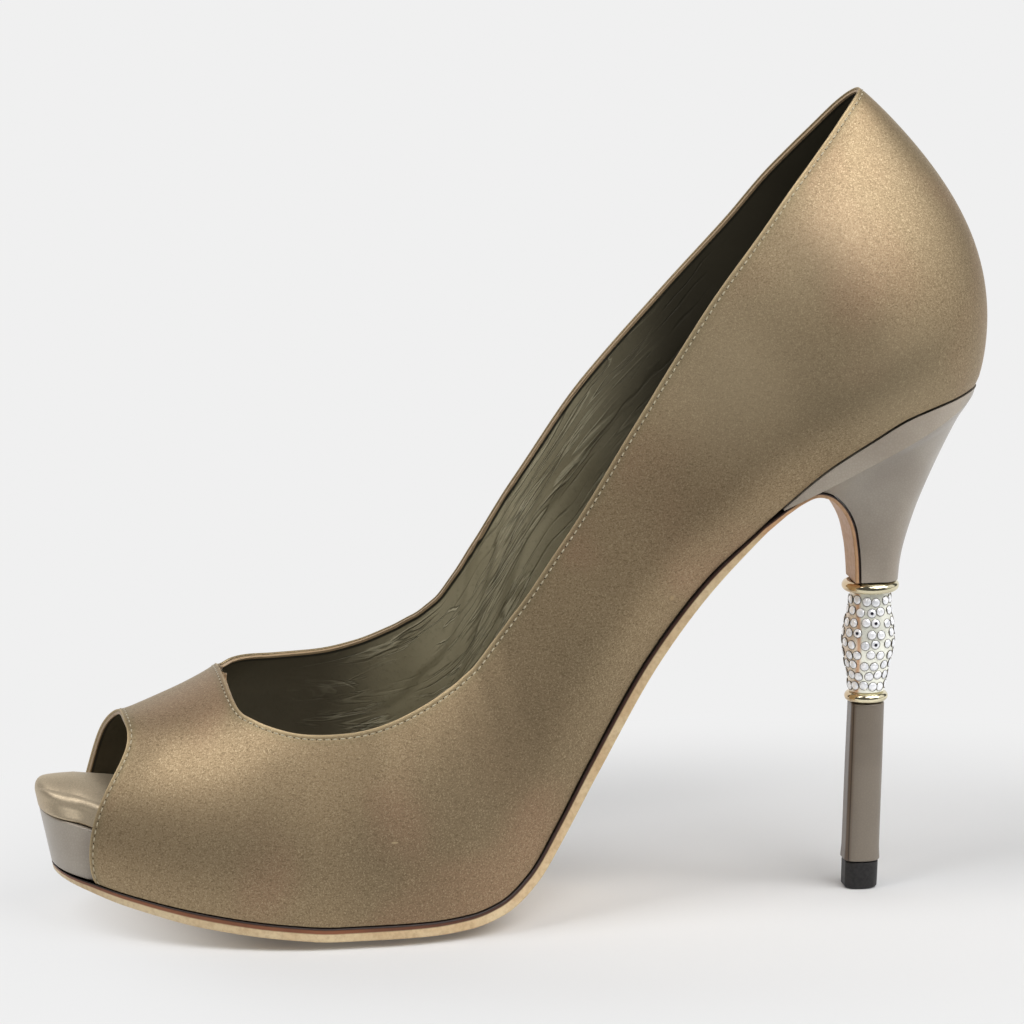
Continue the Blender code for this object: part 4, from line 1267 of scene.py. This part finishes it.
def prick_finish():
    """The shade inside a needle hole."""
    material, place, vary = finish("needle prick", 0.8)
    shade_noise = place.noise(2000.0, 2.0, 0.5)
    vary(Base_Color=shade_noise.between(0.3, 0.7).mix(colour(52, 42, 30), colour(70, 58, 42)))
    return material


ROW_TREE = row_tree()
COLLAR_LINE, PEEP_LINE = edge_lines()
THREAD = thread_finish()
PRICK = prick_finish()
stitch = bead("stitch_grain", STITCH_SIZE)
prick = bead("prick_grain", PRICK_SIZE)
ROWS = (
    # name, edge line, grain, its material, start as a share of the pitch
    ("collar_stitches", COLLAR_LINE, stitch, THREAD, 0.0),
    ("collar_pricks", COLLAR_LINE, prick, PRICK, 0.5),
    ("peep_stitches", PEEP_LINE, stitch, THREAD, 0.0),
    ("peep_pricks", PEEP_LINE, prick, PRICK, 0.5),
)
for name, line, grain, cloth, offset in ROWS:
    row = path_piece(name, stitch_line(line, upper_satin, STITCH_EDGE))
    bake(row, ROW_TREE, Pitch=STITCH_PITCH, Start=STITCH_PITCH * offset, Grain=grain, Finish=cloth)
    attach(row, "root")
bpy.data.objects.remove(stitch)
bpy.data.objects.remove(prick)

# Heel block.  Moulded, covered with the same grey-taupe leather as the platform, cupped under the seat and
# drawn in to a round neck; nailed on from inside under the insole.
HEEL_WIDEST = 0.52
HEEL_STEPS = 36


def heel_mesh():
    """The covered block, from the seat down to its neck."""
    fine, into = breast_path(8)
    neck_back = TIP_X + HEEL_LEAN * NECK_HEIGHT + NECK_SHIFT + 0.5 * NECK_DEPTH
    seat_back = LENGTH * SEAT_END - WELT
    tall = HEEL_HEIGHT - FIT - NECK_HEIGHT
    shares = [math.sin(0.5 * math.pi * i / HEEL_STEPS) for i in range(HEEL_STEPS + 1)]
    loops = []
    for row, way in zip(fine, into):
        front = np.array([row[0] + way[0] * (FLAP + FIT), 0.0, row[1] + way[1] * (FLAP + FIT)])
        back = np.array([neck_back + row[3] * (seat_back - neck_back), 0.0, NECK_HEIGHT + row[4] * tall])
        edge = blend_width(row[2])
        widest = blend_width(row[5])
        loop = []
        for share in shares:
            place = front + (back - front) * share
            before = max(1.0 - share / HEEL_WIDEST, 0.0) ** 2
            beyond = max((share - HEEL_WIDEST) / (1.0 - HEEL_WIDEST), 0.0) ** SEAT_ROUND
            place[1] = -(widest - (widest - edge) * before) * math.sqrt(1.0 - beyond)
            loop.append(place)
        loops.append(loop)
    start = loops[0][0][0] / LENGTH
    end = SEAT_END - WELT / LENGTH
    seat = []
    for share in shares:
        along = start + (end - start) * share
        place = feather_point(along)
        place[1] = -half_width(along, -1, WELT) if share < 1.0 else 0.0
        place[2] -= FIT
        seat.append(place)
    loops.insert(0, seat)
    return loop_mesh("heel_block", [loop + [p * (1.0, -1.0, 1.0) for p in loop[-2::-1]] for loop in loops])


dress(heel_mesh(), HEEL_COVER, "heel_block")

# Heel column.  A gold ring, a pale gold sleeve set with clear crystals, a second ring, a leather-covered
# stem and a black tip, all threaded on the steel pin that comes down from the heel block.
TIP_HEIGHT = 0.0064
TIP_WIDTH = 0.0084
STEM_LENGTH = 0.0376
STEM_WIDTH = 0.0088
RING_BOTTOM_WIDTH = 0.0102
RING_BOTTOM_HEIGHT = 0.0022
SLEEVE_LENGTH = 0.0234
SLEEVE_WIDTH = 0.0092
RING_TOP_WIDTH = 0.0134
RING_TOP_HEIGHT = 0.0025
# Forms up their length: share of the length, share of the width.
SLEEVE_FORM = (
    (0.00, 0.90), (0.14, 0.98), (0.32, 1.17), (0.52, 1.31), (0.68, 1.24), (0.84, 1.09), (1.00, 1.02))
STEM_FORM = ((0.00, 1.03), (0.03, 1.02), (0.09, 0.99), (0.55, 0.985), (1.00, 0.960))
TIP_FORM = ((0.00, 0.93), (0.06, 0.98), (1.00, 1.00))
STEM_SQUARE = 2.5
STEM_FLAT = 0.92
STEM_CORNER = 0.0003
ROUND_SIDES = 96
RING_STEPS = 32
STEM_STEPS = 40
SLEEVE_STEPS = 60
CRYSTAL_ROWS = 9
CRYSTALS_ROUND = 13
CRYSTAL_WIDTH = 0.00212
CRYSTAL_TALL = 0.0004
COLLET_TALL = 0.00045
CRYSTAL_WANDER = 0.10
CRYSTAL_DRIFT = 0.00022
CRYSTAL_FIRST = 0.62
CRYSTAL_SPARE = 0.24
CRYSTAL_SEED = 7
CRYSTAL_SPIN = 6.28
# Sockets of the random node, by their place among like names: a number's upper limit, and the number.
CHANCE_MOST = 3
CHANCE_VALUE = 1
FACET_ANGLE = math.radians(5.0)
# Crystals that show a painted reflection of the dark room in front of the shoe: row and number round the
# sleeve.
DARK_REFLECTION_STONES = ((7, 9), (6, 10), (5, 8), (4, 10))


def column_x(height):
    """Middle of the heel at a height: it leans back a little."""
    return TIP_X + HEEL_LEAN * height


def round_loop(height, radius):
    """A round section of the heel."""
    middle = column_x(height)
    return [np.array([middle + radius * a, radius * b, height]) for a, b in circle(ROUND_SIDES)]


def stem_loop(height, width):
    """A squarish section of the heel with a flat front."""
    loop = []
    for a, b in circle(ROUND_SIDES, 0.5):
        deep = max(math.copysign(abs(a) ** (2.0 / STEM_SQUARE), a), -STEM_FLAT)
        wide = math.copysign(abs(b) ** (2.0 / STEM_SQUARE), b)
        loop.append(np.array([column_x(height) + 0.5 * width * deep, 0.5 * width * wide, height]))
    return loop


def ring_mesh(name, base, width, height):
    """A ring whose outer edge is a half circle."""
    loops = []
    for i in range(RING_STEPS + 1):
        angle = math.pi * (i / RING_STEPS - 0.5)
        radius = 0.5 * (width - height) + 0.5 * height * math.cos(angle)
        loops.append(round_loop(base + 0.5 * height * (1.0 + math.sin(angle)), radius))
    return loop_mesh(name, loops)


def stem_mesh(name, base, length, width, form):
    """A stem or tip, with its ends rounded over."""
    curve = smooth_curve(*zip(*form))
    turns = [0.5 * math.pi * i / CORNER_STEPS for i in range(CORNER_STEPS + 1)]
    loops = []
    for turn in turns:
        less = 2.0 * STEM_CORNER * (1.0 - math.sin(turn))
        loops.append(stem_loop(base + STEM_CORNER * (1.0 - math.cos(turn)), width * curve(0.0) - less))
    for i in range(1, STEM_STEPS):
        height = STEM_CORNER + (length - 2.0 * STEM_CORNER) * i / STEM_STEPS
        loops.append(stem_loop(base + height, width * curve(height / length)))
    for turn in turns:
        less = 2.0 * STEM_CORNER * (1.0 - math.cos(turn))
        height = length - STEM_CORNER * (1.0 - math.sin(turn))
        loops.append(stem_loop(base + height, width * curve(1.0) - less))
    return loop_mesh(name, loops)


def stem_leather():
    """The stem's leather: its seam runs down beside the flat front, which is painted darker brown as shade.
    """
    material = cover_leather("stem leather", (128, 118, 105), (114, 104, 92))
    tree = material.node_tree
    shader = tree.nodes["Principled BSDF"]
    place = Shade(next(node for node in tree.nodes if node.type == "TEX_COORD").outputs["Object"])
    base = Shade(shader.inputs["Base Color"].links[0].from_socket)
    across = place.node("ShaderNodeSeparateXYZ", None, 0, Vector=place)
    height = place.node("ShaderNodeSeparateXYZ", None, 2, Vector=place)
    back = across - TIP_X - height * HEEL_LEAN
    # Painted shade: the flat front is darkened to brown.
    tone = (back.between(-0.0026, -0.0036) * 0.75).mix(base, colour(88, 70, 56))
    tone = (back.hill(-0.0034, 0.00022) * 0.8).mix(tone, colour(44, 34, 27))
    tree.links.new(tone.socket, shader.inputs["Base Color"])
    return material


def polished(name, tone, roughness, metallic=1.0, glow=0.0, flap_reflection=0.0):
    """Plated metal with the faint swirls of a polishing wheel; its front side is tinted by a painted
    reflection of the peach flap, a peach stripe there is also a painted reflection of it, and glow adds
    painted light.
    """
    material, place, vary = finish(name, roughness, metallic, Emission_Strength=glow)
    swirl = place.noise(260.0, 2.0, 0.5, 0.4, (1.0, 1.0, 3.0))
    cloud = place.noise(90.0, 2.0, 0.5)
    across = place.node("ShaderNodeSeparateXYZ", None, 0, Vector=place) - TIP_X
    shade = tuple(0.8 * v for v in tone[:3]) + (1.0,)
    plate = cloud.between(0.3, 0.7).mix(tone, shade)
    # Painted reflection of the peach flap on the front side.
    plate = (across.between(-0.0006, -0.0038) * 0.5).mix(plate, colour(196, 150, 112))
    # A peach stripe, also a painted reflection of the flap.
    plate = (across.hill(-0.0016, 0.0008) * flap_reflection).mix(plate, colour(204, 146, 100))
    # Emission in the plate's colour, by glow: painted light.
    vary(swirl, 0.00002, 0.3, Base_Color=plate, Emission_Color=plate,
         Roughness=cloud.between(0.3, 0.7, roughness, roughness + 0.06))
    return material


def tip_rubber():
    """Matt black rubber."""
    material, place, vary = finish("tip rubber", 0.5)
    grain = place.noise(1400.0, 3.0, 0.6)
    vary(grain, 0.00005, 0.5, Base_Color=grain.between(0.3, 0.7).mix(colour(22, 21, 22), colour(40, 38, 38)))
    return material


GOLD = polished("gold plate", colour(240, 230, 196), 0.08)
base = 0.0
dress(stem_mesh("top_piece", base, TIP_HEIGHT, TIP_WIDTH, TIP_FORM), tip_rubber(), "top_piece")
base += TIP_HEIGHT + FIT
dress(stem_mesh("heel_stem", base, STEM_LENGTH, STEM_WIDTH, STEM_FORM), stem_leather(), "heel_stem")
base += STEM_LENGTH + FIT
dress(ring_mesh("ring_bottom", base, RING_BOTTOM_WIDTH, RING_BOTTOM_HEIGHT), GOLD, "ring_bottom")
base += RING_BOTTOM_HEIGHT + FIT
sleeve_base = base
SLEEVE_RADIUS = smooth_curve(*zip(*SLEEVE_FORM))
loops = []
for step in range(SLEEVE_STEPS + 1):
    share = step / SLEEVE_STEPS
    loops.append(round_loop(base + SLEEVE_LENGTH * share, 0.5 * SLEEVE_WIDTH * SLEEVE_RADIUS(share)))
# The sleeve's plate glows a little, painted light that keeps it near white, and carries the flap's painted
# reflection stripe.
plate = polished("pale gold plate", colour(250, 250, 236), 0.24, 0.35, 0.15, 0.8)
dress(loop_mesh("jewel_sleeve", loops), plate, "jewel_sleeve")


def gem(name, width, tall, sides=12):
    """A low faceted crystal: a table and two rows of crown facets over a short girdle."""
    form = ((1.00, -0.6), (1.00, 0.15), (0.80, 0.62), (0.46, 0.95))
    loops = []
    for i, (reach, level) in enumerate(form):
        radius = 0.5 * width * reach
        loops.append([(radius * a, radius * b, tall * level) for a, b in circle(sides, 0.5 * (i % 2))])
    piece = loop_mesh(name, loops)
    piece.data.set_sharp_from_angle(angle=FACET_ANGLE)
    return hidden(piece)


def gap_shade_ring(name, width, tall, sides=20):
    """The thin dark ring round a crystal: painted shade of the gap it sits in."""
    form = ((0.95, -0.3), (1.02, -0.3), (1.05, 0.10), (1.02, 0.40), (0.97, 0.30))
    count = len(form)
    points = []
    faces = []
    for k, (a, b) in enumerate(circle(sides)):
        points += [(0.5 * width * reach * a, 0.5 * width * reach * b, tall * level) for reach, level in form]
        here = k * count
        after = (k + 1) % sides * count
        for j in range(count):
            up = (j + 1) % count
            faces.append((here + j, here + up, after + up, after + j))
    return hidden(mesh_piece(name, points, faces, {}))


def crystal_places():
    """Staggered, slightly uneven rows of crystals round the sleeve, with the ways out of its surface."""
    points = []
    for row in range(CRYSTAL_ROWS):
        share = (row + CRYSTAL_FIRST) / (CRYSTAL_ROWS + CRYSTAL_SPARE)
        height = sleeve_base + SLEEVE_LENGTH * share
        radius = 0.5 * SLEEVE_WIDTH * SLEEVE_RADIUS(share)
        grown = SLEEVE_RADIUS(share + 0.01) - SLEEVE_RADIUS(share - 0.01)
        slope = 0.5 * SLEEVE_WIDTH * grown / (0.02 * SLEEVE_LENGTH)
        for k in range(CRYSTALS_ROUND):
            wander = CRYSTAL_WANDER * math.sin(row * 12.9 + k * 78.2)
            angle = 2.0 * math.pi * (k + 0.5 * (row % 2) + wander) / CRYSTALS_ROUND
            out = np.array([math.cos(angle), math.sin(angle), -slope])
            out /= np.linalg.norm(out)
            up = height + CRYSTAL_DRIFT * math.sin(row * 4.1 + k * 39.3)
            centre = np.array([column_x(up), 0.0, up])
            points.append((centre + radius * np.array([math.cos(angle), math.sin(angle), 0.0]), out))
    return points


def setting_tree():
    """Geometry Nodes that set one grain on each point, facing out, and turned at random from a seed."""
    tree, keys = node_tree("crystal setting", Seed="Int", Grain="Object", Finish="Material")
    add = tree.nodes.new
    link = tree.links.new
    given = add("NodeGroupInput")
    chance = add("FunctionNodeRandomValue")
    chance.data_type = "FLOAT"
    chance.inputs[CHANCE_MOST].default_value = CRYSTAL_SPIN
    spin = add("FunctionNodeAxisAngleToRotation")
    turn = add("FunctionNodeRotateRotation")
    turn.rotation_space = "LOCAL"
    link(given.outputs["Seed"], chance.inputs["Seed"])
    link(chance.outputs[CHANCE_VALUE], spin.inputs["Angle"])
    link(upright_turn(tree), turn.inputs["Rotation"])
    link(spin.outputs["Rotation"], turn.inputs["Rotate By"])
    lay_grains(tree, given, given.outputs["Geometry"], turn.outputs["Rotation"])
    return tree, keys


def crystal_finish():
    """Clear crystal over silver foil, glowing a little as painted light, with painted dark reflections in a
    few stones.
    """
    # The crystals glow a little: painted light.
    material, place, vary = finish(
        "foiled crystal", 0.05, 0.25, Coat_Weight=1.0, Coat_Roughness=0.01, Emission_Strength=0.17)
    depth = place.noise(500.0, 1.0, 0.5)
    tone = depth.between(0.3, 0.7).mix(colour(252, 252, 254), colour(232, 234, 238))
    # Painted reflection: a few stones darkened as if they mirrored the dark front of the room.
    for row, k in DARK_REFLECTION_STONES:
        middle = CRYSTAL_PLACES[row * CRYSTALS_ROUND + k][0]
        tone = place.spot(tuple(middle), 0.00046, 0.00064).mix(tone, colour(46, 42, 56))
    vary(Base_Color=tone, Emission_Color=tone)
    return material


def gap_shade_finish():
    """Painted shade of the gaps round the crystals, as dull dark metal."""
    material, place, vary = finish("gap shade rim", 0.3, 0.8)
    shade_noise = place.noise(900.0, 2.0, 0.5)
    vary(Base_Color=shade_noise.between(0.3, 0.7).mix(colour(84, 80, 72), colour(116, 110, 98)))
    return material


CRYSTAL_PLACES = crystal_places()
SETTING_TREE = setting_tree()
crystal = gem("crystal_grain", CRYSTAL_WIDTH, CRYSTAL_TALL)
# Dark rings round the crystals: painted shade of the gaps they sit in.
rim = gap_shade_ring("rim_grain", CRYSTAL_WIDTH, COLLET_TALL)
for name, grain, cloth in (("crystals", crystal, crystal_finish()), ("crystal_rims", rim, gap_shade_finish())):
    stones = path_piece(name, CRYSTAL_PLACES)
    bake(stones, SETTING_TREE, Seed=CRYSTAL_SEED, Grain=grain, Finish=cloth)
    if name == "crystals":
        stones.data.set_sharp_from_angle(angle=FACET_ANGLE)
    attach(stones, "root")
    bpy.data.objects.remove(grain)
base += SLEEVE_LENGTH + FIT
dress(ring_mesh("ring_top", base, RING_TOP_WIDTH, RING_TOP_HEIGHT), GOLD, "ring_top")

# Studio.  A white sweep of paper, large soft lights above and beside it, and a long lens.  Away from the
# shoe the paper glows evenly instead of taking light, so that it stays the same pale grey to its edges.
CAMERA_YAW = math.radians(9.0)
CAMERA_RISE = math.radians(11.5)
CAMERA_DISTANCE = 1.5
CAMERA_TARGET = Vector((0.037, 0.0, 0.0919))
CAMERA_LENS = 229.4
ROOM_COLOUR = (0.97, 0.98, 1.0, 1.0)
ROOM_LIGHT = 0.10
PAPER_FRONT = -0.165
PAPER_BEND = 2.4
PAPER_ROUND = 0.8
PAPER_TALL = 4.0
PAPER_WIDE = 4.0
PAPER_BELOW = 0.0001
PAPER_STEPS = 12
GLOW_MIDDLE = (0.085, 0.01, 0.0)
GLOW_SQUEEZE = (1.0, 1.5, 1.0)
GLOW_REACH = (0.12, 0.25)
GLOW_TOE = (-0.02, -0.07)
GLOW_TOE_SHARE = 0.72
PAPER_GREY = 0.68
PAPER_WHITE = 0.871
PAPER_GLOW = 0.07
LIGHTS = (
    # name, place, target, size, power
    ("front_right", (0.72, -0.74, 1.08), (0.07, 0.0, 0.09), (1.3, 1.0), 14.0),
    ("front_fill", (0.17, -0.30, 0.42), (0.11, 0.0, 0.15), (0.26, 0.20), 0.42),
    ("right_side", (1.05, -0.20, 0.50), (0.12, 0.0, 0.14), (1.0, 0.8), 1.9),
    ("key_left", (-0.77, -0.36, 1.36), (0.03, 0.0, 0.05), (0.8, 0.8), 10.5),
)


def grey(level):
    return (level, level, level, 1.0)


def paper_finish():
    """White paper: one distance from the shoe, and one step beside its toe, say where it starts to glow."""
    material, place, vary = finish("white paper", 0.9, Specular_IOR_Level=0.0, Emission_Strength=1.0)
    flat = place.node("ShaderNodeMapping", None, Vector=place, Scale=GLOW_SQUEEZE)
    away = flat.node("ShaderNodeVectorMath", {"operation": "DISTANCE"}, "Value", i0=flat, i1=GLOW_MIDDLE)
    away = away.between(*GLOW_REACH)
    toe = place.node("ShaderNodeSeparateXYZ", None, 0, Vector=place).between(*GLOW_TOE) * GLOW_TOE_SHARE
    away = away + toe - away * toe
    vary(
        Base_Color=away.mix(grey(PAPER_GREY), grey(0.0)),
        Emission_Color=away.mix(grey(PAPER_GLOW), grey(PAPER_WHITE)))
    return material


def sweep():
    """A floor that curves up into a wall behind the shoe."""
    profile = [(PAPER_FRONT, 0.0), (PAPER_BEND, 0.0)]
    for i in range(1, PAPER_STEPS + 1):
        turn = 0.5 * math.pi * i / PAPER_STEPS
        back = PAPER_BEND + PAPER_ROUND * math.sin(turn)
        profile.append((back, PAPER_ROUND - PAPER_ROUND * math.cos(turn)))
    profile.append((PAPER_BEND + PAPER_ROUND, PAPER_TALL))
    points = [(x, y, z - PAPER_BELOW) for y, z in profile for x in (-PAPER_WIDE, PAPER_WIDE)]
    faces = [(2 * i, 2 * i + 1, 2 * i + 3, 2 * i + 2) for i in range(len(profile) - 1)]
    mesh = bpy.data.meshes.new("sweep")
    mesh.from_pydata(points, [], faces)
    mesh.shade_smooth()
    mesh.materials.append(paper_finish())
    floor = bpy.data.objects.new("sweep", mesh)
    bpy.context.scene.collection.objects.link(floor)


def area_light(name, place, target, size, power):
    """A soft light that faces a target."""
    lamp = bpy.data.lights.new(name, "AREA")
    lamp.shape = "RECTANGLE"
    lamp.size, lamp.size_y = size
    lamp.energy = power
    light = bpy.data.objects.new(name, lamp)
    light.location = place
    light.rotation_euler = (Vector(target) - Vector(place)).to_track_quat("-Z", "Y").to_euler()
    bpy.context.scene.collection.objects.link(light)


def camera():
    """A long lens, a little above the shoe and turned a little towards its toe."""
    lens = bpy.data.cameras.new("camera")
    lens.lens = CAMERA_LENS
    lens.sensor_width = 36.0
    lens.clip_start = 0.05
    eye = bpy.data.objects.new("camera", lens)
    way = Vector((
        -math.sin(CAMERA_YAW) * math.cos(CAMERA_RISE), -math.cos(CAMERA_YAW) * math.cos(CAMERA_RISE),
        math.sin(CAMERA_RISE)))
    eye.location = CAMERA_TARGET + way * CAMERA_DISTANCE
    eye.rotation_euler = (-way).to_track_quat("-Z", "Y").to_euler()
    bpy.context.scene.collection.objects.link(eye)
    bpy.context.scene.camera = eye


sweep()
for light in LIGHTS:
    area_light(*light)
camera()
world = bpy.data.worlds.new("studio")
world.use_nodes = True
backdrop = world.node_tree.nodes["Background"]
backdrop.inputs["Color"].default_value = ROOM_COLOUR
backdrop.inputs["Strength"].default_value = ROOM_LIGHT
bpy.context.scene.world = world
bpy.context.scene.view_settings.view_transform = "Standard"
